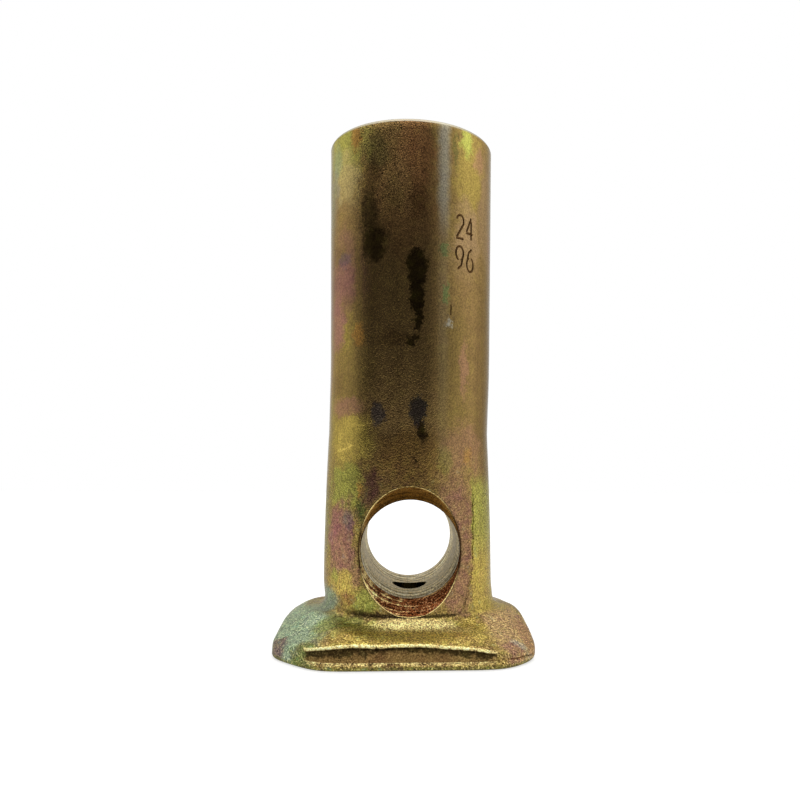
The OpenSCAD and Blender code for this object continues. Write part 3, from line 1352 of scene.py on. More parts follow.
class MaterialTree(Tree):
    """A material's shader tree."""

    def __init__(self, name: str, groups: "Groups") -> None:
        """Starts an empty material.

        Args:
            name: Name of the material.
            groups: The shared groups that it can place.
        """
        self.material = bpy.data.materials.new(name)
        self.material.use_nodes = True
        super().__init__(self.material.node_tree)
        self.nodes.nodes.clear()
        self.groups = groups

    def place(self) -> Socket:
        """Gives the place on the object, in millimetres."""
        return self.scaled(self.node("ShaderNodeTexCoord").outputs["Object"], 1 / MM)

    def scaled(self, vector: object, factor: Number) -> Socket:
        """Multiplies a vector or a colour by a number."""
        return self.node("ShaderNodeVectorMath", {0: vector, "Scale": factor}, operation="SCALE").outputs[0]

    def plus(self, vector: object, other: object, factors: Sequence[float]) -> Socket:
        """Adds another vector, multiplied along each axis, to a vector."""
        return self.node("ShaderNodeVectorMath", {0: other, 1: factors, 2: vector}, operation="MULTIPLY_ADD").outputs[0]

    def mix(self, start: object, end: object, share: Number) -> Socket:
        """Mixes two colours by a share."""
        return self.node("ShaderNodeMix", {0: share, 4: start, 5: end}, data_type="VECTOR").outputs[1]

    def cover(self, colour: object, tint: "Tint", tone: float, share: Number) -> Socket:
        """Lays a tint over a colour by a share."""
        return self.mix(colour, shade(tint, tone), share)

    def film(self, thickness: Number, tone: Number) -> Socket:
        """Gives the colour of the zinc's film at a thickness."""
        return self.node("ShaderNodeGroup", {"Film": thickness, "Tone": tone}, node_tree=self.groups.film).outputs[0]

    def grain(self, place: Socket, grain: Number, depth: Number, pits: Number) -> tuple[Field, Field]:
        """Places the forging's grain.

        Args:
            place: Where it is read.
            grain: Size of a grain.
            depth: Depth of the relief.
            pits: Share of it that is pits.

        Returns:
            The relief's height and the flecks of colour that go with it.
        """
        values = {"Place": place, "Grain": grain, "Depth": depth, "Pits": pits}
        outputs = self.node("ShaderNodeGroup", values, node_tree=self.groups.grain).outputs
        return Field(self, outputs["Height"]), Field(self, outputs["Fleck"])

    def finish(self, colour: object, rough: object, height: Field, edge: float) -> Material:
        """Ends the tree in a plated steel surface.

        Args:
            colour: Base colour.
            rough: Roughness.
            height: Height of the fine relief, in millimetres.
            edge: How bright it is at a grazing angle.

        Returns:
            The material.
        """
        bump = self.node("ShaderNodeBump", {"Height": height, "Strength": 1.0, "Distance": MM})
        values = {"Base Color": colour, "Roughness": rough, "Metallic": 1.0, "Normal": bump.outputs[0]}
        shader = self.node("ShaderNodeBsdfPrincipled", values)
        shader.inputs["Specular Tint"].default_value = (edge, edge * 0.96, edge * 0.88, 1.0)
        self.node("ShaderNodeOutputMaterial", {0: shader.outputs[0]})
        return self.material


def new_group(
    name: str,
    inputs: dict[str, float],
    outputs: dict[str, str],
) -> tuple[Tree, dict[str, Field], bpy.types.Node]:
    """Starts a shader node group.

    Args:
        name: Name of the group.
        inputs: Number inputs with their defaults; one called Place is a vector.
        outputs: Outputs with their socket types.

    Returns:
        The group's tree, its inputs, and its output node.
    """
    nodes = bpy.data.node_groups.new(name, "ShaderNodeTree")
    tree = Tree(nodes)
    for key, value in inputs.items():
        kind = "NodeSocketVector" if key == "Place" else "NodeSocketFloat"
        socket = nodes.interface.new_socket(key, in_out="INPUT", socket_type=kind)
        if kind == "NodeSocketFloat":
            socket.default_value = value
    for key, kind in outputs.items():
        nodes.interface.new_socket(key, in_out="OUTPUT", socket_type=kind)
    entry = tree.node("NodeGroupInput")
    given = {key: Field(tree, entry.outputs[key]) for key in inputs}
    return tree, given, tree.node("NodeGroupOutput")


def film_group() -> bpy.types.NodeTree:
    """Builds the group that turns a film thickness from 0 to 1 and a tone into a colour.

    Returns:
        The group.
    """
    tree, given, out = new_group("Zinc film", {"Film": 0.5, "Tone": 1.0}, {"Color": "NodeSocketColor"})
    ramp = tree.node("ShaderNodeValToRGB", {0: given["Film"]})
    stops = ramp.color_ramp.elements
    for number, (place, tint) in enumerate(FILM_STEPS):
        stop = stops[number] if number in (0, 1) else stops.new(place)
        stop.position = place
        stop.color = linear(tint.value)
    toned = tree.node("ShaderNodeVectorMath", {0: ramp.outputs[0], "Scale": given["Tone"]}, operation="SCALE")
    tree.put(toned.outputs[0], out.inputs[0])
    return tree.nodes


def grain_group() -> bpy.types.NodeTree:
    """Builds the group of fine relief: sandy grains with pits between, and flecks that go with them.

    Returns:
        The group.
    """
    inputs = {"Place": 0.0, "Grain": 0.35, "Depth": 0.02, "Pits": 0.5}
    outputs = {"Height": "NodeSocketFloat", "Fleck": "NodeSocketFloat"}
    tree, given, out = new_group("Forging grain", inputs, outputs)
    place, pits = given["Place"].socket, given["Pits"]
    sand = tree.noise(place, 1.0 / given["Grain"], 2.0, 0.65)
    crisp = sand.ramp(0.36, 0.64)
    cells = tree.node("ShaderNodeTexVoronoi", {"Vector": place, "Scale": 0.8 / given["Grain"]}, feature="F1")
    pit = Field(tree, cells.outputs["Distance"]).ramp(0.08, 0.34, 1.0, 0.0, soft=True)
    pit = pit * tree.noise(place, 0.9, 1.0).ramp(0.42, 0.62)
    tree.put((crisp * 0.6 + sand * 0.4 - pit * pits) * given["Depth"], out.inputs["Height"])
    tree.put((crisp - 0.5) * 1.4 - pit * pits * 1.2, out.inputs["Fleck"])
    return tree.nodes


@dataclass(frozen=True)
class Groups:
    """The shader groups that all finishes share.

    Attributes:
        film: Colour of the zinc's film.
        grain: The forging's fine relief.
    """

    film: bpy.types.NodeTree
    grain: bpy.types.NodeTree


def shade(tint: Tint, tone: float = 1.0) -> Colour:
    """Gives a tint in linear light, brighter or darker by a tone."""
    red, green, blue, _ = linear(tint.value)
    return (red * tone, green * tone, blue * tone)


def stained(tree: MaterialTree, base: object, place: Socket, stains: Sequence[Stain]) -> Socket:
    """Lays stains over a base colour.

    Args:
        tree: The material's tree.
        base: The base colour.
        place: Place in the stains' own coordinates.
        stains: The stains, first to last.

    Returns:
        The stained colour.
    """
    for stain in stains:
        shrink = (1 / stain.half[0], 1 / stain.half[1], 0.0)
        back = (-stain.at[0] / stain.half[0], -stain.at[1] / stain.half[1], 0.0)
        inside = tree.plus(back, place, shrink)
        away = Field(tree, tree.node("ShaderNodeVectorMath", {0: inside}, operation="LENGTH").outputs["Value"])
        mask = away.ramp(1 + stain.soft, 1 - stain.soft, 0.0, stain.strength, soft=True)
        base = tree.cover(base, stain.tint, stain.tone, mask)
    return base


@dataclass(frozen=True)
class Spot:
    """Where a point of the forged skin is, and the masks and noises that its looks follow.

    Attributes:
        place: Place on the part.
        x: Place across.
        y: Place backwards.
        z: Height.
        azimuth: Degrees to the right from the front.
        on_foot: 1 on the foot.
        low: 1 low on the part.
        band: 1 in the dark band down the front.
        cloud: Broad uneven patches, around zero.
        mottle: Small ones.
    """

    place: Socket
    x: Field
    y: Field
    z: Field
    azimuth: Field
    on_foot: Field
    low: Field
    band: Field
    cloud: Field
    mottle: Field


@dataclass(frozen=True)
class ForgedFinish:
    """The forged skin: a stained film over a sandy grain, coarser low on the part, with painted shade and highlights.

    A pair of numbers is where a change sets in and where it is complete: a height, a place across, a distance in front
    of the barrel's axis, or an azimuth in degrees. For the facet's own masks it is the rise of the face, 1 where it
    looks up.

    Attributes:
        groups: The shared shader groups.
        hole: The cross hole, round whose mouths shade is painted.
        foot_top: Heights over which the foot's own stains end.
        low_part: Heights over which the coarse skin low on the part ends.
        band_left, band_right: Both edges of the dark band down the front.
        sandy_part: Heights over which that band turns sandy.
        pale_top: Heights over which the barrel turns paler.
        dull_band: Heights over which the band stops being duller.
        rim_starts, rim_ends: Lower and upper edge of the painted highlight on the rim's chamfer.
        grain: Size of the grains.
        sand: Size of the finer grains high in front.
        sand_depth: Depth of those.
        barrel_depth: Depth of the grains on the barrel.
        foot_depth: Depth of the grains on the foot.
        facet_low, facet_top: Heights of the facet's lower and upper edge.
        facet_front, facet_left, facet_right: Its edges in front and at both ends.
        steep: Rises over which a face stops being the facet.
        edge_line, edge_end: Rises over which the painted highlight along its top edge begins and ends.
        under_z: Height up to which the underside's rounding goes.
        shelf_y, shelf_x: Middle of the painted highlight on the flat strip over the facet.
        shelf_half: Distances to the side over which it ends.
        streak_at, streak_half: Middle and half width of the pale streak up the barrel, a painted reflection beside the
            dark band.
        fold_left, fold_right, fold_top: Edges of the yellow patch beside the fold.
        stripe_z, stripe_half: Middle and half height of the yellow stripe of painted light over the facet.
        stripe_front: Distances in front over which that stripe begins.
        crease_front, crease_right: Where the dark line along the crease begins and where it thins out.
        mouth_line: Width of the painted dark line of shade round the cross hole's mouths.
    """

    groups: Groups
    hole: CrossHole
    foot_top: Span = (7.0, 8.0)
    low_part: Span = (26.0, 44.0)
    band_left: Span = (-48.0, -34.0)
    band_right: Span = (4.0, 18.0)
    sandy_part: Span = (70.0, 86.0)
    pale_top: Span = (82.0, 95.0)
    dull_band: Span = (72.0, 86.0)
    rim_starts: Span = (95.3, 95.5)
    rim_ends: Span = (95.8, 95.95)
    grain: float = 0.3
    sand: float = 0.2
    sand_depth: float = 0.03
    barrel_depth: float = 0.014
    foot_depth: float = 0.06
    facet_low: float = 1.22
    facet_top: float = 4.4
    facet_front: Span = (16.0, 18.0)
    facet_left: Span = (-18.6, -17.8)
    facet_right: Span = (14.2, 15.2)
    steep: Span = (0.3, 0.45)
    edge_line: Span = (0.26, 0.4)
    edge_end: Span = (0.68, 0.78)
    under_z: float = 0.88
    shelf_y: float = -17.6
    shelf_x: float = -1.0
    shelf_half: Span = (10.0, 13.5)
    streak_at: float = 21.0
    streak_half: float = 6.5
    fold_left: Span = (45.0, 46.0)
    fold_right: Span = (74.0, 86.0)
    fold_top: Span = (30.0, 34.5)
    stripe_z: float = 5.3
    stripe_half: float = 1.3
    stripe_front: Span = (17.5, 19.0)
    crease_front: Span = (11.8, 13.4)
    crease_right: Span = (8.0, 9.5)
    mouth_line: float = 0.35

    def make(self) -> Material:
        """Builds the material.

        Returns:
            The material.
        """
        tree = MaterialTree("zinc_forged_skin", self.groups)
        spot = self.spot(tree)
        z, low, on_foot, band, mottle = spot.z, spot.low, spot.on_foot, spot.band, spot.mottle
        film = tree.film(0.5 + spot.cloud * 0.8 + mottle * 0.25, 0.84 + mottle * 0.3)
        colour = tree.mix(self.barrel(tree, film, spot), self.foot(tree, film, spot), on_foot)
        shimmer = tree.film(0.5 + mottle * (1.2 + low * 1.4), 0.9)
        colour = tree.mix(colour, shimmer, 0.12 + low * 0.1 + on_foot * 0.1)
        colour, facet, lip = self.front(tree, colour, spot)

        sandy = band * z.ramp(*self.sandy_part, 0.4, 0.9, soft=True) * (1 - low * 0.6)
        depth = self.barrel_depth + (self.foot_depth - self.barrel_depth) * (low * 0.5 + on_foot * 0.5)
        relief, raw = tree.grain(spot.place, self.grain, depth * (1 - facet * 0.5), 0.3 + low * 0.6)
        sand_relief, sand_fleck = tree.grain(spot.place, self.sand, sandy * self.sand_depth, 0.2)
        speck = sand_fleck * sandy

        fleck = raw * (0.38 + low * 0.34 + on_foot * 0.2) * (1 - facet * 0.3)
        fleck = fleck + speck * 1.1 + mottle * (low * 0.5 + band * 0.5)
        drawn = tree.vector(spot.x * 0.9, spot.y * 0.9, z * 0.06)
        streak = tree.uneven(drawn, 0.5, 3.0, 0.6)
        tone = (1 + fleck + streak * (0.5 - low * 0.3)).at_least(0.06)
        # painted shade: a dark line round the cross hole's mouths, and another along the crease in front
        tone = tone * self.mouth_shadow(spot) * self.crease_shadow(spot)
        tone = tone * z.ramp(*self.pale_top, 1.0, 1.3) * (1 - band * z.ramp(*self.dull_band, 0.2, 0.0) * (1 - on_foot))
        colour = tree.scaled(colour, tone)

        # painted glints: bright flecks on the grain, strongest on the foot
        painted_glint = raw.ramp(0.5, 0.68) * (low * 0.16 + on_foot * 0.54) * (1 - facet * 0.8) + speck.ramp(0.5, 0.7) * 0.35
        colour = tree.scaled(tree.cover(colour, Tint.STRAW, 1.6, painted_glint * 0.6), 1 + painted_glint * 0.6)
        # painted highlight: a bright band on the foot just in front of the barrel's root
        shelf_highlight = (spot.y - self.shelf_y + mottle * 1.6).size().fade(0.5, 1.7, soft=True)
        shelf_highlight = shelf_highlight * (spot.x - self.shelf_x).size().fade(*self.shelf_half)
        colour = tree.cover(colour, Tint.STRAW, 2.9, shelf_highlight * on_foot * raw.ramp(-0.1, 0.5) * 0.8)
        # painted highlight on the rim's chamfer
        colour = tree.cover(colour, Tint.SILVER, 1.7, z.ramp(*self.rim_starts) * z.ramp(*self.rim_ends, 0.75, 0.0))
        rough = 0.16 + mottle * 0.08 + low * 0.11 + on_foot * 0.06 - lip * 0.1
        return tree.finish(colour, rough, relief + sand_relief, edge=0.6)

    def spot(self, tree: MaterialTree) -> Spot:
        """Gives the places, masks and noises that the looks follow.

        Args:
            tree: The material's tree.

        Returns:
            All of them.
        """
        place = tree.place()
        x, y, z = tree.split(place)
        azimuth = tree.math("ARCTAN2", x, -y) * DEGREES
        return Spot(
            place=place,
            x=x,
            y=y,
            z=z,
            azimuth=azimuth,
            on_foot=z.fade(*self.foot_top, soft=True),
            low=z.fade(*self.low_part, soft=True),
            band=azimuth.ramp(*self.band_left) * azimuth.fade(*self.band_right),
            cloud=tree.uneven(tree.vector(x, y, z * 0.5), 0.13, 3.0),
            mottle=tree.uneven(place, 0.7, 4.0, 0.6),
        )

    def front(self, tree: MaterialTree, colour: Socket, spot: Spot) -> tuple[Socket, Field, Field]:
        """Dresses the foot's front: a brown facet, painted shade and highlight at its top, painted highlight on the
        lip.

        Args:
            tree: The material's tree.
            colour: Colour of the skin.
            spot: Where the surface is.

        Returns:
            The new colour, and the masks of the facet and of the lip.
        """
        x, z, mottle = spot.x, spot.z, spot.mottle
        _, _, up = tree.split(tree.node("ShaderNodeNewGeometry").outputs["Normal"])
        up = up + mottle * 0.2
        ahead = (-spot.y).ramp(*self.facet_front) * x.ramp(*self.facet_left) * x.fade(*self.facet_right)
        above = z.ramp(self.facet_low, self.facet_low + 0.3)
        facet = ahead * above * up.fade(*self.steep)
        near_top = (z + (x + 2.0).size() * 0.07).ramp(1.8, 3.8) - 0.6 + mottle * 2.6
        near_top = near_top + x.ramp(6.0, 13.0) * 0.35 + (-x).ramp(9.0, 15.0) * 0.25
        # painted shadow just under the facet's top edge
        shadow = up.ramp(-0.12, 0.04).at_least(near_top.ramp(0.0, 0.4)) * up.fade(0.2, 0.32)
        line = ahead * above * up.ramp(*self.edge_line) * up.fade(*self.edge_end)
        lip = ahead * z.ramp(self.under_z, self.under_z + 0.2) * z.fade(self.facet_low, self.facet_low + 0.3)

        # the facet's tone is painted lighter low and darker high, as light and shade
        falling = (z.ramp(self.facet_low, self.facet_top, 1.75, 0.9) + mottle * 1.2) * (1 - shadow * 0.85)
        rusty = tree.cover(shade(Tint.UMBER), Tint.GOLD, 0.55, (0.4 + spot.cloud * 3.0).within())
        colour = tree.mix(colour, tree.scaled(rusty, falling.at_least(0.06)), facet * 0.95)
        # painted highlight along the facet's rounded top edge
        colour = tree.cover(colour, Tint.STRAW, 2.6, line * (0.85 + mottle * 2.6).within(0.3))
        # the lip: a painted highlight, broken by painted dark patches
        colour = tree.cover(colour, Tint.UMBER, 0.8, lip * (0.1 - mottle * 4.5).within(0.0, 0.85))
        colour = tree.cover(colour, Tint.STRAW, 1.45, lip * (0.3 + mottle * 4.5).within())
        return colour, facet, lip

    def wander(self, tree: MaterialTree, place: Socket, scale: float = 0.3) -> Socket:
        """Gives the noise that makes the stains' edges uneven.

        Args:
            tree: The material's tree.
            place: Where it is read.
            scale: Waves for each millimetre.

        Returns:
            A vector around zero.
        """
        noise = {"Vector": place, "Scale": scale, "Detail": 5.0, "Roughness": 0.66}
        wander = tree.node("ShaderNodeTexNoise", noise).outputs["Color"]
        return tree.node("ShaderNodeVectorMath", {0: wander, 1: (0.5, 0.5, 0.5)}, operation="SUBTRACT").outputs[0]

    def barrel(self, tree: MaterialTree, film: Socket, spot: Spot) -> Socket:
        """Stains the barrel.

        Args:
            tree: The material's tree.
            film: The bare film's colour.
            spot: Where the surface is.

        Returns:
            The barrel's colour.
        """
        flat, wander = tree.vector(spot.azimuth, spot.z, 0.0), self.wander(tree, spot.place)
        colour = stained(tree, film, tree.plus(flat, wander, (30.0, 10.0, 0.0)), BROAD_STAINS)
        ragged = tree.plus(flat, wander, (12.0, 4.0, 0.0))
        for scale, reach in ((1.1, (9.0, 2.6, 0.0)), (3.6, (9.0, 2.4, 0.0))):
            ragged = tree.plus(ragged, self.wander(tree, spot.place, scale), reach)
        colour = stained(tree, colour, ragged, SMALL_STAINS)
        fold, rise, _ = tree.split(ragged)
        # painted reflection: a pale silver streak up the barrel, just right of the dark band
        streak = (spot.azimuth * 0.7 + fold * 0.3).near(self.streak_at, self.streak_half).ramp(0.0, 0.9, soft=True)
        streak = streak * spot.z.ramp(74, 84, 0.12, 0.8, soft=True) * spot.z.ramp(30, 60)
        colour = tree.cover(colour, Tint.SILVER, 1.14, streak)
        edge = fold.ramp(*self.fold_left) * fold.fade(*self.fold_right, soft=True)
        edge = edge * rise.fade(*self.fold_top, soft=True)
        yellow = tree.cover(shade(Tint.YELLOW, 1.08), Tint.LIME, 1.06, spot.z.ramp(15, 24, 0.0, 0.9, soft=True))
        return tree.mix(colour, yellow, edge * 0.95)

    def foot(self, tree: MaterialTree, film: Socket, spot: Spot) -> Socket:
        """Stains the foot, paints a stripe of light over the facet and paints shade on its lower rounding.

        Args:
            tree: The material's tree.
            film: The bare film's colour.
            spot: Where the surface is.

        Returns:
            The foot's colour.
        """
        flat = tree.vector(spot.x, spot.y, 0.0)
        colour = stained(tree, film, tree.plus(flat, self.wander(tree, spot.place), (6.0, 6.0, 0.0)), FOOT_STAINS)
        # painted light: a yellow stripe that lifts the slope where it reflects the dark barrel
        stripe = (spot.z + spot.mottle).near(self.stripe_z, self.stripe_half).ramp(0.0, 0.6, soft=True)
        stripe = stripe * (-spot.y).ramp(*self.stripe_front) * (spot.x + 1.0).size().fade(8.0, 14.0)
        colour = tree.cover(colour, Tint.YELLOW, 1.9, stripe * 0.7)
        # painted shade on the lower rounding under the foot
        under = spot.z.fade(self.under_z - 0.3, self.under_z + 0.1)
        return tree.cover(colour, Tint.GREEN, 0.5, under * 0.75)

    def crease_shadow(self, spot: Spot) -> Field:
        """Gives the dark line along the crease in front.

        Args:
            spot: Where the surface is.

        Returns:
            A factor on the tone.
        """
        x, y, root = spot.x, spot.y, self.hole.skin.root_r
        away = (spot.z + spot.mottle * 1.8 - self.hole.skin.crease - 0.25).size() * x.ramp(-8.0, 4.0, 0.4, 1.1)
        line = away.ramp(0.15, 0.4, 0.75, 0.0) * (x * x + y * y).sqrt().ramp(root + 0.2, root + 0.6, 1.0, 0.0)
        return 1 - line * (-y).ramp(*self.crease_front) * x.ramp(*self.crease_right, 1.0, 0.3)

    def mouth_shadow(self, spot: Spot) -> Field:
        """Gives the painted shade round the cross hole's mouths: a dark line, darker and wider at the sides.

        Args:
            spot: Where the surface is.

        Returns:
            A factor on the tone.
        """
        up = spot.z - self.hole.z
        away = (spot.x * spot.x + up * up).sqrt()
        mouth = self.hole.cone_at(spot.y.size()) + self.hole.radius
        side = spot.x.size().ramp(6.0, 9.0)
        return (away - mouth).ramp(self.mouth_line * 0.3, self.mouth_line * (1 + side), 0.7 - side * 0.45, 1.0)


@dataclass(frozen=True)
class DrilledFinish:
    """The cross hole's wall: grey-green, with painted shade and highlight on the rings where the drill stopped and cut
    again.

    Attributes:
        groups: The shared shader groups.
        hole: The cross hole, whose rings it follows.
        first_ring: Distance over which the rings grow to full strength.
        line_end: How far a ring's painted dark line of shade goes past the groove, as a share of half the pitch.
        crest_end: The same, of the painted highlight on the crest beside it.
        scored_front: Distances in front over which the scores grow clear.
        right_side: Places across over which the wall turns darker.
    """

    groups: Groups
    hole: CrossHole
    first_ring: float = 1.5
    line_end: float = 0.05
    crest_end: float = 0.3
    scored_front: Span = (5.0, 12.5)
    right_side: Span = (4.0, 9.0)

    def make(self) -> Material:
        """Builds the material.

        Returns:
            The material.
        """
        tree = MaterialTree("zinc_drilled_wall", self.groups)
        place = tree.place()
        x, y, z = tree.split(place)
        fine = tree.uneven(tree.vector(x * 0.2, y * 2.2, z * 0.2), 1.2, 2.0)
        mottle = tree.uneven(place, 1.1, 3.0)
        front = (-y).ramp(*self.scored_front, 0.25, 1.0)
        scored = tree.noise(tree.vector(x * 0.05, y * 0.9, z * 0.05), 1.0, 3.0, 0.6)
        rings = self.rings(y.size(), fine, mottle)
        rings = rings * (1 - scored.ramp(0.525, 0.56, 0.0, 0.8) * front)
        rings = rings * (1 + scored.ramp(0.47, 0.4, 0.0, 0.6) * front)
        relief, fleck = tree.grain(tree.vector(x, y * 0.25, z), 0.3, 0.03, 0.7)
        tone = (1.7 + fine * 1.3 + mottle * 0.9 + fleck * (0.5 + front)).at_least(0.1)
        tone = tone * rings * x.ramp(*self.right_side, 1.0, 0.84)
        base = tree.cover(shade(Tint.SILVER), Tint.GOLD, 1.0, 0.35 + mottle)
        return tree.finish(tree.scaled(base, tone), 0.42 + mottle * 0.1, relief + fine * 0.05, edge=0.4)

    def rings(self, depth: Field, fine: Field, mottle: Field) -> Field:
        """Gives the drill's rings, each a painted dark line of shade with a painted highlight on the crest beside it.

        Args:
            depth: Distance from the middle of the barrel.
            fine: Fine uneven rings, around zero.
            mottle: Uneven patches, around zero.

        Returns:
            A factor on the tone.
        """
        hole = self.hole
        wave = ((depth - hole.ring_start + fine * 0.9) / hole.ring_pitch).part()
        far = (wave * 2 - 1).size()
        line_end, crest_end = hole.ring_width + self.line_end, hole.ring_width + self.crest_end
        # painted shade in each groove, and a painted highlight on the crest beside it
        groove = far.ramp(0.15, line_end, 0.12, 1.0, soft=True)
        crest = far.ramp(line_end, crest_end, 1.9, 0.95, soft=True)
        ringed = depth.ramp(hole.ring_start, hole.ring_start + self.first_ring)
        return 1 + (groove * crest - 1) * ringed * (0.8 + mottle * 1.6).within(0.1)


@dataclass(frozen=True)
class SunkFinish:
    """The countersinks: coppery, ringed by the cutter, olive at the top, with painted highlights and a painted broken
    edge.

    Attributes:
        groups: The shared shader groups.
        hole: The cross hole that they widen.
        reach: Height over the hole's axis that counts as 1.
        inner_band: Width of the darker band inside.
        inner_line: Where the painted highlight line beside it thins out and ends, from the countersink's start.
        peach_part: Places across over which the painted highlight streaks turn from straw to peach.
        dark_ends: Distances to the side over which both ends turn dark.
        dull_edge: Places across over which the broken edge's painted highlight above ends.
        break_gap: Distances from the cone over which the broken edge begins.
    """

    groups: Groups
    hole: CrossHole
    reach: float = 11.0
    inner_band: float = 1.2
    inner_line: Span = (0.1, 0.45)
    peach_part: Span = (-3.0, 5.0)
    dark_ends: Span = (8.0, 9.4)
    dull_edge: Span = (4.0, 8.0)
    break_gap: Span = (0.02, 0.06)

    def make(self) -> Material:
        """Builds the material.

        Returns:
            The material.
        """
        tree = MaterialTree("zinc_countersink", self.groups)
        place = tree.place()
        x, y, z = tree.split(place)
        depth, rise, start = y.size(), z - self.hole.z, self.hole.csk_start
        up = rise / self.reach
        mottle = tree.uneven(place, 0.8, 4.0, 0.65)
        turned = tree.uneven(tree.vector(x * 0.1, y * 4.0, z * 0.1), 1.0, 2.0)
        relief, fleck = tree.grain(place, 0.25, 0.05, 0.9)

        # painted highlight: pale streaks along the cutter's rings, mostly on the left
        gold = (mottle * 3.6 + turned * 3.4 - x * 0.1 - 0.28).within()
        pale = tree.cover(shade(Tint.STRAW, 2.1), Tint.PEACH, 1.9, x.ramp(*self.peach_part))
        copper = tree.mix(shade(Tint.RUST, 0.86), pale, gold)
        base = tree.cover(copper, Tint.ORANGE, 0.48, up.ramp(-0.3, 0.5))
        inner = depth.ramp(start, start + self.inner_band, 0.75, 1.0)
        tone = (up.ramp(-0.9, 0.6, 0.66, 1.2) + fleck * 0.8 + mottle * 1.4 + turned * 2.4) * inner
        colour = tree.scaled(base, tone.at_least(0.06) * x.size().ramp(*self.dark_ends, 1.0, 0.25))

        # painted highlight: a thin bright line along the countersink's inner edge, low down
        line = depth.ramp(start + self.inner_line[0], start + self.inner_line[1], 1.0, 0.0) * up.ramp(-0.2, -0.6)
        colour = tree.cover(colour, Tint.STRAW, 1.5, line * (mottle * 3.0 + turned * 3.2).within())
        # painted glints low in the countersink
        painted_glint = fleck.ramp(0.48, 0.66, 0.0, 0.55) * (-up).ramp(0.3, 0.7)
        painted_glint = painted_glint * (0.4 + mottle * 3.0 + x.size() * 0.06).at_least(0.0)
        colour = tree.cover(colour, Tint.PEACH, 2.2, painted_glint.at_most(0.6))

        outside = (x * x + rise * rise).sqrt() - self.hole.radius - self.hole.cone_at(depth)
        # the broken edge: painted shade, with a painted highlight above and below
        broken = outside.ramp(*self.break_gap)
        bright = up.ramp(0.3, 0.7) * x.fade(*self.dull_edge) + (-up).ramp(0.3, 0.6) * (1.1 + mottle * 3.0)
        colour = tree.cover(colour, Tint.UMBER, 0.4, broken)
        colour = tree.cover(colour, Tint.STRAW, 2.2, broken * bright.within())
        return tree.finish(colour, 0.24 + mottle * 0.1, relief + turned * 0.08, edge=0.5)


@dataclass(frozen=True)
class TappedFinish:
    """The thread and the pilot hole: a plain gold film, which the pilot hole dims almost to black as painted shade.

    Attributes:
        groups: The shared shader groups.
        name: Name of the material.
        tone: How bright it is.
    """

    groups: Groups
    name: str = "zinc_tapped_thread"
    tone: float = 0.9

    def make(self) -> Material:
        """Builds the material.

        Returns:
            The material.
        """
        tree = MaterialTree(self.name, self.groups)
        place = tree.place()
        mottle = tree.uneven(place, 0.5, 3.0)
        relief, fleck = tree.grain(place, 0.2, 0.004, 0.2)
        colour = tree.film(0.58 + mottle * 0.3, self.tone + mottle * 0.3 + fleck * 0.06)
        return tree.finish(colour, 0.26 + mottle * 0.08, relief, edge=0.7)


@dataclass(frozen=True)
class MarkFinish:
    """The floor of stamped marks: a dull dark brown that paints the shade in their grooves.

    Attributes:
        groups: The shared shader groups.
        tint: Colour of the film.
        tone: How bright it is.
    """

    groups: Groups
    tint: Tint = Tint.UMBER
    tone: float = 0.85

    def make(self) -> Material:
        """Builds the material.

        Returns:
            The material.
        """
        tree = MaterialTree("zinc_stamped_mark", self.groups)
        mottle = tree.uneven(tree.place(), 1.5, 2.0)
        colour = tree.scaled(shade(self.tint), (self.tone + mottle * 0.6).at_least(0.1))
        return tree.finish(colour, 0.4 + mottle * 0.1, mottle * 0.01, edge=0.4)


ARC_STEP = 20


def arc(centre: Point, radii: Point, start: float, end: float) -> list[Point]:
    """Gives points along an arc.

    Args:
        centre: Middle of the arc.
        radii: Half width and half height of its ellipse.
        start: First angle, in degrees anticlockwise from the right.
        end: Last angle.

    Returns:
        The points, about one every ARC_STEP degrees.
    """
    steps = max(2, round(abs(end - start) / ARC_STEP))
    angles = [math.radians(start + (end - start) * count / steps) for count in range(steps + 1)]
    return [(centre[0] + radii[0] * math.cos(a), centre[1] + radii[1] * math.sin(a)) for a in angles]


# strokes of the stamped digits, in a box one wide and one high from its lower left corner
DIGITS: dict[str, list[list[Point]]] = {
    "2": [arc((0.5, 0.72), (0.46, 0.28), 170, -20) + [(0.0, 0.0)], [(-0.04, 0.0), (1.0, 0.0)]],
    "4": [[(0.72, 1.0), (0.0, 0.32)], [(-0.04, 0.3), (1.0, 0.3)], [(0.72, 0.86), (0.72, 0.0)]],
    "6": [arc((0.5, 0.3), (0.45, 0.3), 100, 440), [(0.12, 0.46), (0.3, 0.8), (0.75, 1.0)]],
    "9": [arc((0.5, 0.7), (0.45, 0.3), -80, 260), [(0.88, 0.54), (0.7, 0.2), (0.25, 0.0)]],
}

# small marks and flaws of the barrel, as paths of azimuth in degrees and height
TICKS = (((26.7, 61.9), (26.8, 64.0)),)
SCRATCHES = (((-62.0, 36.8), (-57.0, 37.2), (-51.0, 37.4), (-46.0, 38.0), (-41.0, 38.4)),)
FOLDS = (
    ((47.0, 30.7), (47.4, 28.6), (46.3, 27.4), (47.2, 25.0), (46.2, 23.4), (46.9, 21.0), (45.6, 19.6), (46.0, 17.2)),
    ((45.8, 16.6), (44.2, 15.2), (43.6, 13.6), (41.4, 12.8), (41.0, 11.2), (38.4, 10.4), (37.0, 9.4), (34.6, 8.6)),
)


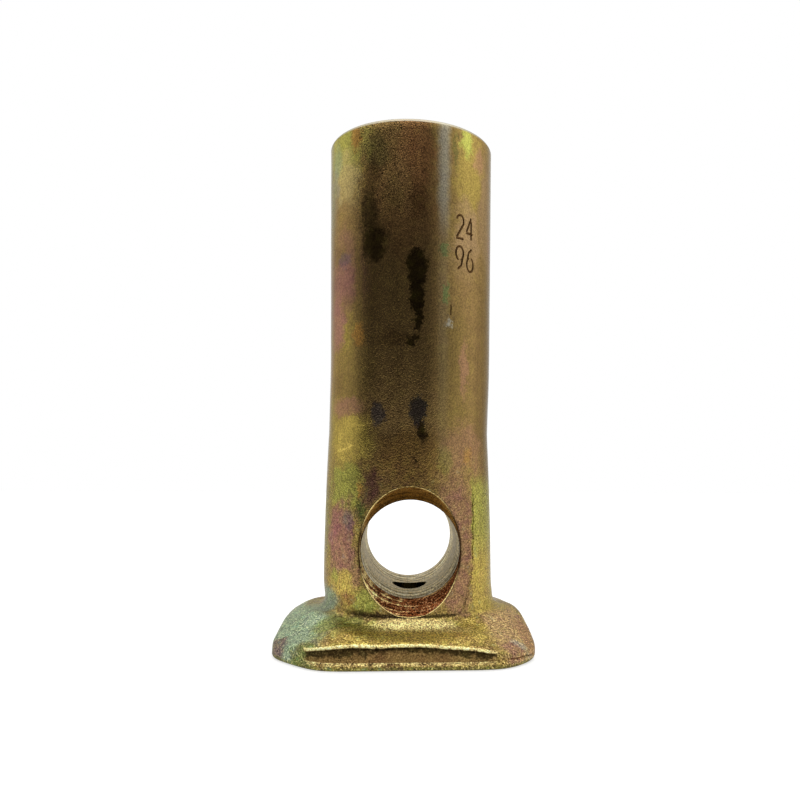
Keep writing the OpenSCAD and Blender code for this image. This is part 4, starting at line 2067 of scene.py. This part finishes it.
@dataclass(frozen=True)
class Engraving:
    """Strokes pressed into the barrel, each a path of azimuth in degrees and height.

    Attributes:
        name: Name of the shape that they press out.
        skin: Skin that they are pressed into.
        strokes: The paths.
        width: Radius of the tool that follows them.
        above: Height of the tool's middle over the skin.
        step: Distance between two places on a path.
        blunt: Size of the tool at both ends of a path, as a share.
    """

    name: str
    skin: ForgedSkin
    strokes: tuple[Stroke, ...]
    width: float = 0.24
    above: float = 0.05
    step: float = 0.15
    blunt: float = 0.35

    SIDES = 6
    BLUNT_END = 0.12
    DIGIT_PITCH = 1.35

    @staticmethod
    def number(skin: ForgedSkin, text: str, at: Point, height: float, across: float) -> list["Engraving"]:
        """Spells plain digits on the barrel.

        Args:
            skin: Skin that they are pressed into.
            text: The digits.
            at: Azimuth and height of the first one's lower left corner.
            height: Height of a digit.
            across: Width of a digit.

        Returns:
            One engraving for each layer of strokes that don't touch.
        """
        degree = math.degrees(1 / skin.barrel_r)
        layers: list[list[Stroke]] = [[], [], []]
        for place, digit in enumerate(text):
            left = at[0] + place * across * Engraving.DIGIT_PITCH * degree
            for layer, stroke in zip(layers, DIGITS[digit]):
                layer.append(tuple((left + u * across * degree, at[1] + v * height) for u, v in stroke))
        return [Engraving(f"mark_{text}_{i}", skin, tuple(layer)) for i, layer in enumerate(layers) if layer]

    def paths(self) -> bpy.types.Mesh:
        """Lays the strokes out flat.

        Returns:
            A mesh of edges alone, with azimuth across and height upwards.
        """
        points = [(azimuth, 0.0, z) for stroke in self.strokes for azimuth, z in stroke]
        edges, first = [], 0
        for stroke in self.strokes:
            edges += [(first + i, first + i + 1) for i in range(len(stroke) - 1)]
            first += len(stroke)
        mesh = bpy.data.meshes.new(self.name + "_paths")
        mesh.from_pydata(points, edges, [])
        return mesh

    def make(self, material: Material) -> Object:
        """Builds the shapes that the strokes press out.

        Args:
            material: Finish of the strokes.

        Returns:
            The closed cutters, as one object.
        """
        tree = GeometryTree(self.name, self)
        size = tree.sizes
        azimuth, _, z = tree.split(tree.node("GeometryNodeInputPosition").outputs[0])
        r = self.skin.barrel_at(z) + size.above
        angle = azimuth * math.radians(1)
        wrapped = tree.vector(r * angle.sin() + self.skin.lean_at(z), -(r * angle.cos()), z)
        path = tree.node("GeometryNodeMeshToCurve", {0: tree.inputs.outputs[0]})
        even = tree.node("GeometryNodeResampleCurve", {0: path.outputs[0], "Length": size.step}, mode="LENGTH")
        laid = tree.node("GeometryNodeSetPosition", {"Geometry": even.outputs[0], "Position": wrapped})
        ring = tree.node("GeometryNodeCurvePrimitiveCircle", {"Resolution": self.SIDES, "Radius": size.width})
        along = Field(tree, tree.node("GeometryNodeSplineParameter").outputs["Factor"])
        full = (1 - (along * 2 - 1).size()).ramp(0.0, self.BLUNT_END, size.blunt, 1.0)
        sweep = {"Curve": laid.outputs[0], "Profile Curve": ring.outputs[0], "Scale": full, "Fill Caps": True}
        tree.finish(tree.node("GeometryNodeCurveToMesh", sweep).outputs[0], material)
        return tree.make(self.name, self.paths())


class Ferrule:
    """The whole part: the forged skin with everything that is cut into it."""

    NODE = "ferrule"
    SLOT = "zinc_plated_steel"
    BORE_FLOOR = 40.01
    # painted shade: the pilot hole's film is dimmed almost to black
    PILOT_PAINTED_SHADE = 0.05
    SHARP_ANGLE = 34

    def __init__(self) -> None:
        """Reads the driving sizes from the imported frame."""
        low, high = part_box(self.NODE)
        mounts = {mount["name"]: mount for mount in frame["record"]["mounts"]}
        cross, thread = mounts["crossbar_hole"], mounts["thread"]
        self.skin = ForgedSkin(height=(high[2] - low[2]) / MM)
        self.hole = CrossHole(skin=self.skin, z=cross["pos_m"][2] / MM, radius=float(cross["dims"]["r_mm"]))
        minor_r = float(thread["dims"]["r_mm"])
        self.bore = TappedBore(rim=self.skin.height, floor=self.BORE_FLOOR, minor_r=minor_r)
        self.pilot = PilotHole(cross_z=self.hole.z, cross_r=self.hole.radius)
        self.marks = [
            *Engraving.number(self.skin, "24", (30.5, 76.0), 4.2, 1.75),
            *Engraving.number(self.skin, "96", (30.0, 70.4), 4.2, 1.9),
            Engraving("tick", self.skin, TICKS, width=0.16),
        ]
        self.flaws = [
            Engraving("scratch", self.skin, SCRATCHES, width=0.16, above=0.06),
            Engraving("fold", self.skin, FOLDS, width=0.3, above=0.08),
        ]

    def make(self) -> Object:
        """Builds the part as one closed mesh that stands for the CAD node.

        Returns:
            The finished part.
        """
        groups = Groups(film=film_group(), grain=grain_group())
        forged = ForgedFinish(groups, self.hole).make()
        tapped = TappedFinish(groups).make()
        # the pilot hole's material is dimmed almost to black as painted shade
        piloted = TappedFinish(groups, "zinc_pilot_hole_painted_dark", self.PILOT_PAINTED_SHADE).make()
        drilled = DrilledFinish(groups, self.hole).make()
        sunk = SunkFinish(groups, self.hole).make()
        marked = MarkFinish(groups).make()
        skin = self.skin.make(forged)
        tools = [self.bore.make(tapped), self.hole.make(drilled, sunk), self.pilot.make(piloted)]
        tools += [mark.make(marked) for mark in self.marks]
        tools += [flaw.make(forged) for flaw in self.flaws]
        for piece in [skin, *tools]:
            report(piece)
        part = cut(skin, tools, "ferrule_forging")
        part.data.shade_smooth()
        part.data.set_sharp_from_angle(angle=math.radians(self.SHARP_ANGLE))
        report(part)
        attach(part, "root")
        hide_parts(self.NODE)
        return part


def report(piece: Object) -> None:
    """Logs a piece with its count of triangles."""
    triangles = sum(len(face.vertices) - 2 for face in piece.data.polygons)
    log.info("%s: %d triangles", piece.name, triangles)


def main() -> None:
    """Builds the studio and the part, in order."""
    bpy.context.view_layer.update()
    StudioCamera().make()
    LightTent().make()
    StudioFloor().make()
    Ferrule().make()
    bpy.context.scene.view_settings.view_transform = "Standard"


if __name__ == "__main__":
    main()
